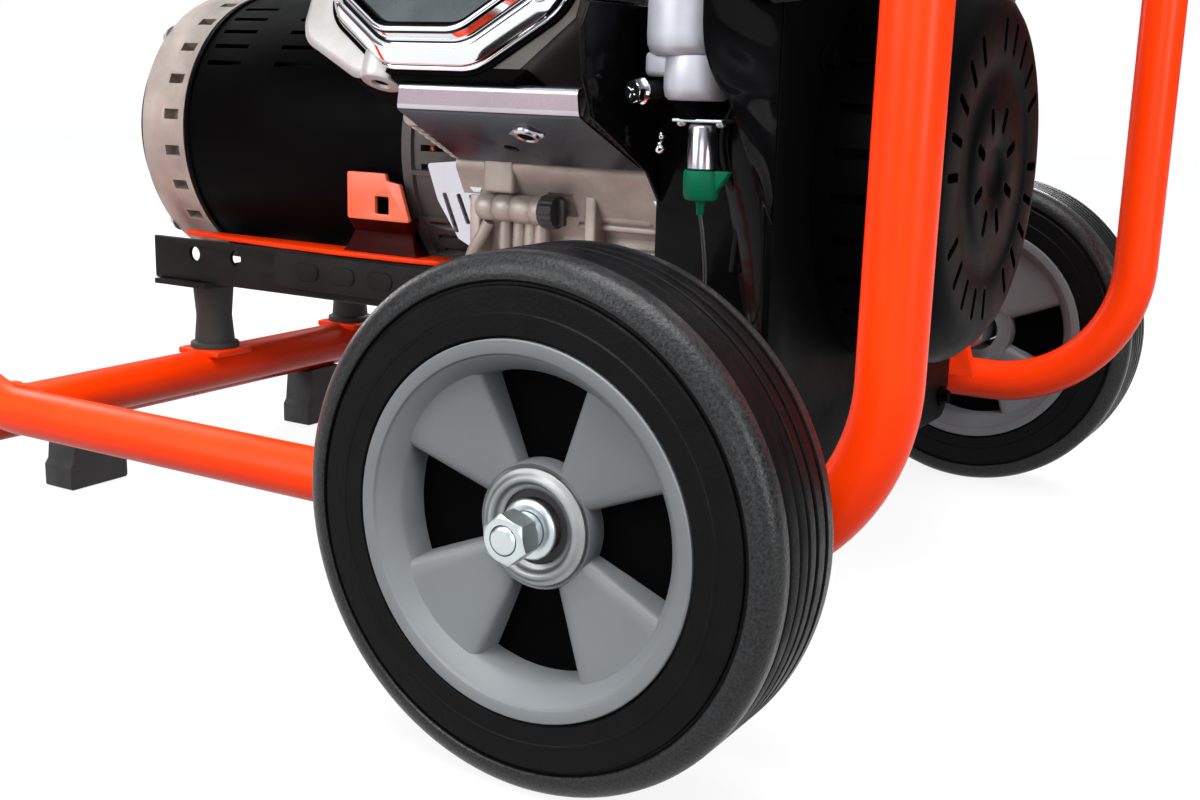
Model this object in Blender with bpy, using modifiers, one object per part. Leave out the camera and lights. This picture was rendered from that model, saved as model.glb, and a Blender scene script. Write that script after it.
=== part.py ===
"""Open-frame portable generator: tube frame, two wheels, engine, alternator, tank and panel.

The frame stands on +Z, the engine's starter end is -X, the alternator end +X, the side with the
rocker cover +Y and the side with the control box -Y. All sizes are in millimetres and are
turned into metres by MM.
"""
import math

import bmesh
import bpy
from mathutils import Matrix, Vector

MM = 0.001
GAP = 0.3                       # clearance between two touching pieces

# Frame
TUBE_R = 14.3
POST_X = 319.0                  # post centre to middle of the frame
HOOP_Y = 240.0
RAIL_Z = 86.5
TOP_Z = 545.0
BEND_R = 92.0
BEND_STEPS = 6
WHEEL_END_X = -152.0            # bottom cross members
ALTERNATOR_END_X = 237.0
TOP_BAR_X = 212.0
TOP_BAR_R = 11.0
STAND_X = 319.0
STAND_Z = 57.0
STAND_R = 12.5
STAND_TOP_Z = 212.0
STAND_BEND = 38.0
FOOT_Y = 121.0
FOOT_SIZE = (27.0, 50.0)

# Wheels, measured along the axle from the wheel's outer face
AXLE_X = -199.0
TYRE_R = 114.4
LIP_R = 80.0
WHEEL_FACE_Y = 333.6
WHEEL_W = 63.6
POCKET = 41.0                   # depth of the hub's pockets, which stop at its inner web
AXLE_R = 8.0
THREAD_R = 6.1
SLEEVE_R = 11.2
NUT_AF = 19.0
NUT_FACE_Y = 342.3
NUT_L = 11.3
AXLE_END_Y = 343.6

# Engine: crank axis along X, cylinder leaning up towards +Y
CRANK_Z = 250.0
LEAN = math.radians(25.0)
CYL_X = -53.0                   # cylinder's centre along the crank
CASE_X = (-142.8, 0.0)
CAP_X = -60.0                   # outer end of the oil filler boss
CAP_YZ = (105.0, 219.6)
CASE_BOTTOM = 128.3
BARREL_S = (96.0, 150.0)        # distances from the crank along the cylinder
HEAD_S = (150.3, 199.7)
COVER_S = (200.0, 236.0)
SHAFT_R = 12.5
PANEL_X = (-222.5, -220.0)
THROAT_Z = 338.0
RECOIL_X = (-285.0, -222.8)
RECOIL_R = 108.0
BLOWER_X = (-220.2, -145.0)
PULL_Y = -45.0                  # starter rope, on a chord of the pulley
CARB_X = -190.0                # solenoid, beside the float bowl
BOWL_X = -181.5
CARB_Y = 165.0

# Alternator
BELL_R = 96.0
STATOR_R = 86.0
COVER_R = 95.0
ISOLATOR_Y = 72.0
CRADLE_Y = 97.0
CRADLE_Z = 150.0
CRADLE_TOP = 179.7

# Tank, box and handles
TANK_HALF = (185.0, 195.0)
TANK_Z = (440.0, 572.0)
BOX_X = (-60.0, 225.0)
BOX_Y = (-225.0, -150.0)
BOX_Z = (250.0, 425.0)
BREAKER_PIVOT = (-10.0, -231.0, 379.0)
BREAKER_TILT = 20.0         # the lever is up when the breaker is on
HANDLE_Z = 452.0
HANDLE_Y = 271.0
HANDLE_X = 316.0
HANDLE_R = 11.0
HANDLE_L = 210.0

for old in list(bpy.data.objects):
    bpy.data.objects.remove(old)

PARTS = bpy.data.collections.new("portable_generator")
GUIDES = bpy.data.collections.new("cutters")
for group in (PARTS, GUIDES):
    bpy.context.scene.collection.children.link(group)


def material(name, colour, roughness, metallic=0.0):
    mat = bpy.data.materials.new(name)
    mat.use_nodes = True
    shader = mat.node_tree.nodes["Principled BSDF"]
    shader.inputs["Base Color"].default_value = (*colour, 1.0)
    shader.inputs["Roughness"].default_value = roughness
    shader.inputs["Metallic"].default_value = metallic
    mat.diffuse_color = (*colour, 1.0)
    return mat


ORANGE = material("orange_paint", (0.95, 0.075, 0.004), 0.35)
BLACK = material("black_paint", (0.008, 0.008, 0.009), 0.3)
PLASTIC = material("black_plastic", (0.02, 0.02, 0.022), 0.5)
RUBBER = material("rubber", (0.012, 0.012, 0.013), 0.7)
GREY = material("grey_plastic", (0.28, 0.31, 0.33), 0.45)
ZINC = material("zinc_plate", (0.62, 0.65, 0.67), 0.25, 1.0)
CHROME = material("bright_steel", (0.75, 0.77, 0.78), 0.12, 1.0)
CAST = material("cast_aluminium", (0.5, 0.48, 0.45), 0.5, 0.8)
STEEL = material("steel", (0.45, 0.45, 0.45), 0.4, 1.0)
DARK = material("dark_steel", (0.06, 0.06, 0.065), 0.5, 0.5)
GREEN = material("green_plastic", (0.0, 0.19, 0.09), 0.45)
RED = material("red_plastic", (0.6, 0.02, 0.015), 0.4)


def add(name, mesh, mat, guide=False):
    """Links a mesh as a part, or as a hidden cutter."""
    obj = bpy.data.objects.new(name, mesh)
    (GUIDES if guide else PARTS).objects.link(obj)
    if guide:
        obj.hide_render = True
        obj.display_type = "WIRE"
    else:
        mesh.materials.clear()
        mesh.materials.append(mat)
    return obj


def shade(mesh, degrees=35.0):
    mesh.shade_smooth()
    mesh.set_sharp_from_angle(angle=math.radians(degrees))


def bevel(obj, width, segments=2, degrees=40.0):
    mod = obj.modifiers.new("edges", "BEVEL")
    mod.width = width * MM
    mod.segments = segments
    mod.limit_method = "ANGLE"
    mod.angle_limit = math.radians(degrees)
    return obj


def boolean(obj, other, operation):
    mod = obj.modifiers.new(other.name, "BOOLEAN")
    mod.object = other
    mod.operation = operation
    mod.solver = "EXACT"
    return obj


def cut(obj, *cutters):
    for cutter in cutters:
        boolean(obj, cutter, "DIFFERENCE")
    return obj


def join(obj, *others):
    for other in others:
        boolean(obj, other, "UNION")
    return obj


def box(name, x, y, z, mat=None, guide=False):
    """A block between (low, high) pairs in millimetres."""
    size = Vector((x[1] - x[0], y[1] - y[0], z[1] - z[0])) * MM
    middle = Vector((x[0] + x[1], y[0] + y[1], z[0] + z[1])) * (MM / 2)
    bm = bmesh.new()
    bmesh.ops.create_cube(bm, size=1.0, matrix=Matrix.Diagonal((*size, 1.0)))
    mesh = bpy.data.meshes.new(name)
    bm.to_mesh(mesh)
    bm.free()
    obj = add(name, mesh, mat, guide)
    obj.location = middle
    return obj


AXIS_TURN = {
    "X": Matrix.Rotation(math.radians(90), 4, "Y"),
    "Y": Matrix.Rotation(math.radians(-90), 4, "X"),
    "-Y": Matrix.Rotation(math.radians(90), 4, "X"),
    "Z": Matrix.Identity(4),
}


def rod(name, start, length, radius, axis, mat=None, sides=20, guide=False, top_radius=None):
    """A cylinder or cone that starts at a point and runs along an axis."""
    bm = bmesh.new()
    top = radius if top_radius is None else top_radius
    bmesh.ops.create_cone(bm, cap_ends=True, segments=sides, radius1=radius * MM,
                          radius2=top * MM, depth=length * MM,
                          matrix=Matrix.Translation((0, 0, length * MM / 2)))
    mesh = bpy.data.meshes.new(name)
    bm.to_mesh(mesh)
    bm.free()
    if not guide:
        shade(mesh)
    obj = add(name, mesh, mat, guide)
    turn = axis if isinstance(axis, Matrix) else AXIS_TURN[axis]
    obj.matrix_world = Matrix.Translation(Vector(start) * MM) @ turn
    return obj


def turned(name, profile, origin, axis, mat=None, steps=32, ring=True, guide=False):
    """A profile of (radius, height) turned about an axis; its outer side runs downwards."""
    mesh = bpy.data.meshes.new(name)
    points = [(radius * MM, 0.0, height * MM) for radius, height in profile]
    count = len(points)
    edges = [(i, i + 1) for i in range(count - 1)]
    if ring:
        edges.append((count - 1, 0))
    mesh.from_pydata(points, edges, [])
    obj = add(name, mesh, mat, guide)
    mod = obj.modifiers.new("turn", "SCREW")
    mod.axis = "Z"
    mod.steps = steps
    mod.render_steps = steps
    mod.use_merge_vertices = True
    mod.merge_threshold = 0.0001
    mod.use_smooth_shade = False
    obj.matrix_world = Matrix.Translation(Vector(origin) * MM) @ AXIS_TURN[axis]
    return obj


def tube(name, points, radius, mat=None, cyclic=False, resolution=4, guide=False):
    """A round bar along a line of points, made a mesh with welded caps."""
    data = bpy.data.curves.new(name, "CURVE")
    data.dimensions = "3D"
    data.bevel_depth = radius * MM
    data.bevel_resolution = resolution
    data.use_fill_caps = True
    spline = data.splines.new("POLY")
    spline.points.add(len(points) - 1)
    for slot, point in zip(spline.points, points):
        slot.co = (*(Vector(point) * MM), 1.0)
    spline.use_cyclic_u = cyclic
    return curve_to_part(name, data, mat, guide)


def curve_to_part(name, data, mat, guide):
    curve = bpy.data.objects.new(name + "_curve", data)
    PARTS.objects.link(curve)
    bpy.context.view_layer.update()
    evaluated = curve.evaluated_get(bpy.context.evaluated_depsgraph_get())
    mesh = bpy.data.meshes.new_from_object(evaluated)
    mesh.name = name
    bpy.data.objects.remove(curve)
    bm = bmesh.new()
    bm.from_mesh(mesh)
    bmesh.ops.remove_doubles(bm, verts=bm.verts, dist=0.00001)
    bm.to_mesh(mesh)
    bm.free()
    shade(mesh)
    return add(name, mesh, mat, guide)


def slab(name, outline, thickness, axis, level, mat=None, guide=False):
    """A flat outline of (u, v) points with a thickness centred on a level of its axis.

    Across X the outline is (y, z), across Y it is (x, z) and across Z it is (x, y).
    """
    data = bpy.data.curves.new(name, "CURVE")
    data.dimensions = "2D"
    data.fill_mode = "BOTH"
    data.extrude = thickness * MM / 2
    spline = data.splines.new("POLY")
    spline.points.add(len(outline) - 1)
    for slot, (u, v) in zip(spline.points, outline):
        slot.co = (u * MM, v * MM, 0.0, 1.0)
    spline.use_cyclic_u = True
    obj = curve_to_part(name, data, mat, guide)
    places = {
        "X": Matrix(((0, 0, 1, level * MM), (1, 0, 0, 0), (0, 1, 0, 0), (0, 0, 0, 1))),
        "Y": Matrix(((1, 0, 0, 0), (0, 0, -1, level * MM), (0, 1, 0, 0), (0, 0, 0, 1))),
        "Z": Matrix.Translation((0, 0, level * MM)),
    }
    obj.matrix_world = places[axis]
    return obj


def arc(centre, radius, start, end, steps):
    """Points (u, v) of an arc between two angles in degrees."""
    angles = [math.radians(start + (end - start) * i / steps) for i in range(steps + 1)]
    return [(centre[0] + radius * math.cos(a), centre[1] + radius * math.sin(a)) for a in angles]


def rounded_rect(u, v, radius, steps=4):
    """Outline of a rectangle between (low, high) pairs with round corners."""
    corners = [
        ((u[1] - radius, v[0] + radius), -90),
        ((u[1] - radius, v[1] - radius), 0),
        ((u[0] + radius, v[1] - radius), 90),
        ((u[0] + radius, v[0] + radius), 180),
    ]
    return [p for centre, start in corners for p in arc(centre, radius, start, start + 90, steps)]


def cylinder_frame(along, across, x=CYL_X):
    """World place of a point given along the cylinder axis and across it (up is positive)."""
    y = along * math.cos(LEAN) - across * math.sin(LEAN)
    z = CRANK_Z + along * math.sin(LEAN) + across * math.cos(LEAN)
    return (x, y, z)


def lean_matrix(along, across=0.0, x=CYL_X):
    """Places a mesh drawn with X across, Y up the head and Z out along the cylinder."""
    out = Vector((0, math.cos(LEAN), math.sin(LEAN)))
    up = Vector((0, -math.sin(LEAN), math.cos(LEAN)))
    side = up.cross(out)
    turn = Matrix((side, up, out)).transposed().to_4x4()
    return Matrix.Translation(Vector(cylinder_frame(along, across, x)) * MM) @ turn


def leaning(name, outline, span, mat=None, guide=False):
    """An outline of (x offset, across) extruded between two distances along the cylinder."""
    obj = slab(name, [(-u, v) for u, v in outline][::-1], span[1] - span[0], "Z", 0.0, mat, guide)
    obj.matrix_world = lean_matrix((span[0] + span[1]) / 2)
    return obj


# ---------------------------------------------------------------- frame

def hoop(name, y):
    outline = rounded_rect((-POST_X, POST_X), (RAIL_Z, TOP_Z), BEND_R, BEND_STEPS)
    side = 1 if y > 0 else -1
    obj = tube(name, [(u, y, v) for u, v in outline], TUBE_R, ORANGE, cyclic=True, resolution=3)
    boss_l = HANDLE_Y - HOOP_Y + 18.0
    axis = "Y" if side > 0 else "-Y"
    pin = rod(name + "_pin", (HANDLE_X, y, HANDLE_Z), boss_l, 6.0, axis, sides=16, guide=True)
    return join(obj, pin)


def cross_member(name, x, z, radius, mat=ORANGE):
    reach = HOOP_Y - TUBE_R - GAP
    return rod(name, (x, -reach, z), 2 * reach, radius, "Y", mat, sides=20)


def frame():
    hoop("rear_hoop", HOOP_Y)
    hoop("front_hoop", -HOOP_Y)
    wheel_bar = cross_member("wheel_end_cross_member", WHEEL_END_X, RAIL_Z, TUBE_R)
    axle_z = TYRE_R
    for side, label in ((1, "rear"), (-1, "front")):
        low = RAIL_Z + 8.0
        ear = [(AXLE_X - 24, low), (WHEEL_END_X + 8, low)]
        ear += arc((AXLE_X, axle_z), 17.0, 0, 180, 8)
        plate = slab(label + "_ear", ear, 8.0, "Y", side * 212.0, guide=True)
        join(wheel_bar, plate)
    bore = rod("axle_bore", (AXLE_X, -230, axle_z), 460, AXLE_R + GAP, "Y", sides=24, guide=True)
    cut(wheel_bar, bore)
    cross_member("alternator_end_cross_member", ALTERNATOR_END_X, RAIL_Z, TUBE_R)
    cross_member("tank_bar_wheel_end", -TOP_BAR_X, TOP_Z, TOP_BAR_R)
    cross_member("tank_bar_alternator_end", TOP_BAR_X, TOP_Z, TOP_BAR_R)

    upright = HOOP_Y + TUBE_R + GAP + STAND_R
    bend = arc((upright - STAND_BEND, STAND_Z + STAND_BEND), STAND_BEND, -90, 0, 5)
    half = bend + [(upright, STAND_TOP_Z)]
    line = [(-u, v) for u, v in half[::-1]] + half
    tube("stand_bar", [(STAND_X, u, v) for u, v in line], STAND_R, ORANGE, resolution=2)
    for side, label in ((1, "rear"), (-1, "front")):
        x = (STAND_X - FOOT_SIZE[0] / 2, STAND_X + FOOT_SIZE[0] / 2)
        y = (side * FOOT_Y - FOOT_SIZE[1] / 2, side * FOOT_Y + FOOT_SIZE[1] / 2)
        bevel(box(label + "_foot", x, y, (0, STAND_Z - STAND_R - GAP), RUBBER), 3.0, 1)


# ---------------------------------------------------------------- wheels

def wheel(label, side):
    """Hub, tyre, bearing, sleeve and nut; heights run outwards from the wheel's outer face."""
    axis = "Y" if side > 0 else "-Y"
    origin = (AXLE_X, side * WHEEL_FACE_Y, TYRE_R)
    hub = turned(label + "_wheel_hub", [
        (LIP_R, 0), (LIP_R, -WHEEL_W), (74, -WHEEL_W), (64, -44), (28, -44), (28, -WHEEL_W + 4),
        (SLEEVE_R + 4.5, -WHEEL_W + 4), (SLEEVE_R + 4.5, -17), (25.6, -17), (28, -14),
        (64, -10), (73, 0)], origin, axis, GREY, steps=36)
    for i in range(4):
        start = i * 90 - 22.5
        ring = arc((0, 0), 63.0, start, start + 45, 5) + arc((0, 0), 30.0, start + 45, start, 4)
        hole = slab(f"{label}_opening_{i}", ring, POCKET, "Z", 0.0, guide=True)
        hole.matrix_world = Matrix.Translation(Vector(origin) * MM) @ AXIS_TURN[axis] @ \
            Matrix.Translation((0, 0, -POCKET / 2 * MM))
        cut(hub, hole)

    turned(label + "_tyre", [
        (LIP_R + GAP, 0), (101, 0), (107, -3), (TYRE_R, -9), (TYRE_R, -WHEEL_W + 9),
        (101, -WHEEL_W), (LIP_R + GAP, -WHEEL_W)], origin, axis, RUBBER, steps=36)
    turned(label + "_wheel_bearing", [
        (SLEEVE_R + GAP, -12), (20.5, -12), (25, -13.2), (25, -14.6), (19, -14.8),
        (SLEEVE_R + 4.2, -16.2), (SLEEVE_R + 4.2, -WHEEL_W + 6), (SLEEVE_R + GAP, -WHEEL_W + 6)],
        origin, axis, ZINC, steps=24)
    nut_back = NUT_FACE_Y - WHEEL_FACE_Y - NUT_L
    turned(label + "_axle_sleeve", [
        (AXLE_R + GAP, nut_back - GAP), (SLEEVE_R, nut_back - GAP), (SLEEVE_R, -WHEEL_W - 6),
        (AXLE_R + GAP, -WHEEL_W - 6)], origin, axis, ZINC, steps=20)
    start = (AXLE_X, side * (NUT_FACE_Y - NUT_L), TYRE_R)
    nut = rod(label + "_axle_nut", start, NUT_L, NUT_AF / math.sqrt(3), axis, ZINC, sides=6)
    hole = rod(label + "_nut_bore", (start[0], start[1] - side * 3, start[2]), NUT_L + 6,
               THREAD_R + GAP, axis, sides=20, guide=True)
    cut(nut, hole)


def axle():
    shoulder = NUT_FACE_Y - NUT_L - GAP
    half = [(THREAD_R - 1, AXLE_END_Y), (THREAD_R, AXLE_END_Y - 1), (THREAD_R, shoulder),
            (AXLE_R, shoulder)]
    mirrored = [(radius, -height) for radius, height in half[::-1]]
    profile = [(0, AXLE_END_Y)] + half + mirrored + [(0, -AXLE_END_Y)]
    turned("axle", profile, (AXLE_X, 0, TYRE_R), "Y", ZINC, steps=16, ring=False)


# ---------------------------------------------------------------- mounting

def isolator(name, x, y, top):
    low = RAIL_Z + TUBE_R + GAP
    turned(name, [(0, top), (14, top), (14, low + 3), (17, low + 3), (17, low), (0, low)],
           (x, y, 0), "Z", RUBBER, steps=14, ring=False)


def mounting():
    for side, label in ((1, "rear"), (-1, "front")):
        isolator(f"isolator_alternator_{label}", ALTERNATOR_END_X, side * ISOLATOR_Y, CRADLE_Z - 3 - GAP)
        isolator(f"isolator_engine_{label}", WHEEL_END_X, side * ISOLATOR_Y, CASE_BOTTOM - 4 - 2 * GAP)
    base = CASE_BOTTOM - GAP
    tray = box("cradle", (-172, -2), (-100, 100), (base - 4, base), DARK)
    inner = CRADLE_Y - 3
    channel = [(-CRADLE_Y, CRADLE_TOP), (-CRADLE_Y, CRADLE_Z), (CRADLE_Y, CRADLE_Z),
               (CRADLE_Y, CRADLE_TOP), (inner, CRADLE_TOP), (inner, CRADLE_Z + 3),
               (-inner, CRADLE_Z + 3), (-inner, CRADLE_TOP)]
    beam = slab("cradle_beam", channel, 264.0, "X", 134.0, guide=True)
    riser = box("cradle_riser", (1, 5), (-inner, inner), (base - 4, CRADLE_Z + 3), guide=True)
    lip = box("cradle_lip", (-4, 5), (-inner, inner), (base - 4, base), guide=True)
    foot = box("cradle_foot", (215, 262), (-102, 102), (CRADLE_Z - 3, CRADLE_Z + 1), guide=True)
    join(tray, riser, lip, beam, foot)

    low = CRADLE_TOP + GAP
    edge = CRADLE_Y + 2.5
    bracket = box("alternator_bracket", (18, 250), (76, edge), (low, low + 3), ORANGE)
    face = [(40.5, 203.5), (90, 203.5), (90, 233.5), (59, 233.5), (59, 228.7), (48.5, 227.2)]
    web = slab("bracket_web", face, 3.0, "Y", edge - 1.5, guide=True)
    neck = box("bracket_neck", (44, 90), (87, 90), (low + 1, 206), guide=True)
    ledge = box("bracket_ledge", (42, 89), (87, edge - 1), (203, 206.5), guide=True)
    window = box("bracket_window", (57.5, 68.5), (edge - 10, edge + 10), (208.5, 219.4), guide=True)
    cut(join(bracket, web, neck, ledge), window)


# ---------------------------------------------------------------- engine

def crankcase():
    outline = [(-98, CASE_BOTTOM), (98, CASE_BOTTOM), (98, 140), (88, 150), (88, 205)]
    low_in = cylinder_frame(BARREL_S[0] - GAP, -52)[1:]
    high_in = cylinder_frame(BARREL_S[0] - GAP, 52)[1:]
    outline += [low_in, high_in, (20, 338), (-40, 338), (-86, 300), (-90, 150), (-98, 140)]
    case = slab("crankcase", outline, CASE_X[1] - CASE_X[0], "X", sum(CASE_X) / 2, CAST)
    bore = rod("crank_bore", (CASE_X[0] - 10, 0, CRANK_Z), 170, SHAFT_R + GAP, "X", guide=True)
    chamber = rod("crank_chamber", (-92, 0, CRANK_Z), 72, 62, "X", sides=24, guide=True)
    boss = rod("filler_boss", (CAP_X, *CAP_YZ), 45, 8, "X", sides=12, guide=True)
    boss_web = box("boss_web", (CAP_X + 2, -18), (86, 104), (215, 224), guide=True)
    relief = rod("cap_relief", (CAP_X - 17, *CAP_YZ), 16.9, 11, "X", sides=12, guide=True)
    cut(join(case, boss, boss_web), bore, chamber, relief)


def crankshaft():
    left = rod("crankshaft", (-212, 0, CRANK_Z), 125, SHAFT_R, "X", STEEL, sides=20)
    right = rod("crank_output", (-30, 0, CRANK_Z), 90, SHAFT_R, "X", sides=20, guide=True)
    webs = []
    for i, x in enumerate((-89, -40)):
        web = slab(f"crank_web_{i}", arc((0, CRANK_Z - 8), 48, 0, 360, 16)[:-1], 14.0, "X",
                   x + 7.0, guide=True)
        webs.append(web)
    pin = rod("crank_pin", (-80, 0, CRANK_Z + 26), 45, 14, "X", sides=16, guide=True)
    join(left, right, *webs, pin)


def cylinder():
    fins = [(-58, -50), (-58, 50), (58, 50), (58, -50)]
    barrel = leaning("cylinder_barrel", [(-48, -46), (48, -46), (48, 46), (-48, 46)], BARREL_S, CAST)
    for i in range(5):
        start = BARREL_S[0] + 5 + i * 10
        join(barrel, leaning(f"barrel_fin_{i}", fins[::-1], (start, start + 3), guide=True))
    head_outline = [(-78, -14), (-50, -45), (48, -46), (84, -16), (86, 45), (60, 73), (-56, 73),
                    (-78, 50)]
    bevel(leaning("cylinder_head", head_outline, HEAD_S, CAST), 2.0, 1)
    cover = [(-28, -42), (30, -42), (73, -8), (74, 48), (50, 70), (-50, 70), (-72, 48), (-72, -8)]
    flange = leaning("rocker_cover", cover, (COVER_S[0], COVER_S[0] + 6), CHROME)
    inner = [(u * 0.86, 14 + (v - 14) * 0.84) for u, v in cover]
    dome = leaning("cover_dome", inner, (COVER_S[0] + 3, COVER_S[1]), guide=True)
    bevel(dome, 7.0, 2)
    join(flange, dome)


def head_details():
    start = lean_matrix(HEAD_S[1] + GAP + 0.5, 60, CYL_X + 79)
    cap = rod("spark_plug_cap", (0, 0, 0), 44, 10, "Z", RUBBER, sides=16)
    cap.matrix_world = start
    fold = [(199.5, 288), (197.5, 288), (195.0, 279.0), (139, 251), (140, 249), (197, 277)]
    plate = slab("lower_shroud_plate", fold, 143.0, "X", -71.5, ZINC)
    slant = [(-34, 205), (-25, 197), (0, 139), (5, 130), (5, 205)]
    corner = slab("plate_corner", slant, 70.0, "Z", 270.0, guide=True)
    hole = rod("plate_hole", (-73.7, 157.5, 240), 40, 2.6, "Z", sides=12, guide=True)
    cut(plate, corner, hole)
    filler = rod("oil_filler_cap", (CAP_X - 10.4, *CAP_YZ), 10, 9.5, "X", PLASTIC, sides=16)
    grip = box("cap_grip", (CAP_X - 15, CAP_X - 9), (CAP_YZ[0] - 2, CAP_YZ[0] + 2),
               (CAP_YZ[1] - 8, CAP_YZ[1] + 8), guide=True)
    join(filler, grip)


def blower():
    """Fan housing, flywheel, black end panel, starter cover and its pull grip."""
    flank = 128.0
    outline = [(flank, 170), (flank, 336)] + arc((0, CRANK_Z), 126, 50, 232, 14)
    outline += [(-60, 138), (70, 138)]
    outer = slab("blower_housing", outline, BLOWER_X[1] - BLOWER_X[0], "X",
                 sum(BLOWER_X) / 2, BLACK)
    hollow = rod("fan_space", (BLOWER_X[0] + 4, 0, CRANK_Z), 80, 105, "X", sides=28, guide=True)
    intake = rod("fan_intake", (BLOWER_X[0] - 5, 0, CRANK_Z), 20, 70, "X", sides=24, guide=True)
    baffle = [(206, 318), (198, 292), (141, 249), (118, 238), (110, 238), (110, 318)]
    side = slab("side_baffle", baffle, 3.0, "X", -144.6, guide=True)
    panel = slab("end_panel", rounded_rect((-150, 150), (77, 358), 14, 3),
                 PANEL_X[1] - PANEL_X[0], "X", sum(PANEL_X) / 2, guide=True)
    cut(join(outer, side, panel), hollow, intake)
    turned("flywheel", [
        (SHAFT_R + GAP, 22), (40, 22), (44, 10), (92, 10), (92, -18), (SHAFT_R + GAP, -18)],
        (-186, 0, CRANK_Z), "X", CAST, steps=24)

    depth = RECOIL_X[1] - RECOIL_X[0]
    cover = turned("recoil_cover", [
        (RECOIL_R, depth), (RECOIL_R, 16), (92, 0), (20, 0), (20, 3), (90, 3),
        (RECOIL_R - 3, 18), (RECOIL_R - 3, depth)][::-1],
        (RECOIL_X[0], 0, CRANK_Z), "X", BLACK, steps=28)
    exit_hole = rod("rope_exit", (-262, PULL_Y, 320), 60, 5, "Z", sides=12, guide=True)
    cut(cover, exit_hole)
    rope = rod("recoil_grip", (-262, PULL_Y, 176), 200, 2.5, "Z", PLASTIC, sides=12)
    grip = box("grip_bar", (-275, -249), (PULL_Y - 45, PULL_Y + 45), (372, 390), guide=True)
    bevel(grip, 5.0, 1)
    join(rope, grip)


def carburettor():
    body = turned("carburettor", [
        (0, 354), (16, 354), (20, 350), (20, 312), (18, 307), (14.5, 306), (14.5, 287),
        (13, 285.3), (0, 285.3)], (BOWL_X, CARB_Y, 0), "Z", CAST, steps=20, ring=False)
    throat = rod("carb_throat", (-219.7, CARB_Y, THROAT_Z), 88.2, 16, "X", guide=True)
    plate = box("solenoid_plate", (CARB_X - 12, CARB_X + 14), (CARB_Y - 8, CARB_Y + 8),
                (275, 278), guide=True)
    neck = rod("solenoid_neck", (BOWL_X - 2, CARB_Y, 276), 12, 6, "Z", sides=12, guide=True)
    join(body, throat, neck, plate)
    rod("fuel_cut_solenoid", (CARB_X, CARB_Y, 253.0), 21.7, 7.5, "Z", ZINC)
    turned("solenoid_cap", [(0, 252.7), (8.5, 252.7), (9.6, 250), (8.6, 239), (4, 238), (3, 231),
                            (0, 231)], (CARB_X, CARB_Y, 0), "Z", GREEN, steps=14, ring=False)
    lever = box("choke_lever", (-213, -201), (CARB_Y + 20.5, CARB_Y + 23), (330, 372), PLASTIC)
    bevel(lever, 1.0, 1)


def intake_and_exhaust():
    cleaner = box("air_cleaner", (-285, -152), (62, 176), (362, 434), PLASTIC)
    bevel(cleaner, 9.0, 2)
    elbow = box("intake_elbow", (-262, -220), (150.8, 174), (326, 366), guide=True)
    join(cleaner, elbow)
    shell = slab("muffler", rounded_rect((72, 186), (342, 432), 34, 5), 190.0, "X", 142.0, DARK)
    pipe = tube("exhaust_pipe", [(33.6, 128, 352), (42, 128, 352), (60, 129, 362)], 15,
                resolution=2, guide=True)
    outlet = rod("tail_pipe", (225, 128, 395), 30, 12, "X", sides=16, guide=True)
    join(shell, pipe, outlet)


# ---------------------------------------------------------------- alternator

def alternator():
    centre = (0, 0, CRANK_Z)
    turned("drive_bell", [(BELL_R, 50), (BELL_R, 20), (84, 1), (20, 1), (20, 8), (76, 10),
                          (90, 24), (90, 50)], centre, "X", CAST, steps=28)
    turned("alternator_stator", [(STATOR_R, 212), (STATOR_R, 52), (54, 52), (54, 212)],
           centre, "X", STEEL, steps=28)
    turned("alternator_cover", [(COVER_R, 236), (COVER_R, 50.6), (88, 50.6), (88, 236)],
           centre, "X", BLACK, steps=28)
    turned("alternator_rotor", [
        (0, 268), (8.5, 268), (8.5, 240), (13, 238), (13, 206), (52, 206), (52, 66), (13, 66),
        (13, 61), (0, 61)], centre, "X", STEEL, steps=20, ring=False)
    turned("end_bell", [(COVER_R, 276), (COVER_R, 237), (86, 237), (86, 244), (60, 252),
                        (9, 252), (9, 256), (56, 256), (84, 276)], centre, "X", CAST, steps=28)
    turned("alternator_end_cover", [(0, 296), (78, 296), (84, 290), (84, 277), (0, 277)],
           centre, "X", BLACK, steps=28, ring=False)


# ---------------------------------------------------------------- tank, panel and handles

def tank():
    x = (-TANK_HALF[0], TANK_HALF[0])
    y = (-TANK_HALF[1], TANK_HALF[1])
    body = box("fuel_tank", x, y, TANK_Z, PLASTIC)
    bevel(body, 26.0, 3)
    for i, bar_x in enumerate((-TOP_BAR_X, TOP_BAR_X)):
        span = (min(bar_x, bar_x * 0.8) - 6, max(bar_x, bar_x * 0.8) + 6)
        for j, ear_y in enumerate((-130, 130)):
            top = TOP_Z - TOP_BAR_R - GAP
            ear = box(f"tank_ear_{i}_{j}", span, (ear_y - 20, ear_y + 20), (top - 3, top),
                      guide=True)
            join(body, ear)
    turned("fuel_cap", [(0, 598), (30, 598), (36, 592), (36, 576), (34, 572.5), (0, 572.5)],
           (-70, 0, 0), "Z", PLASTIC, steps=22, ring=False)


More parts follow.
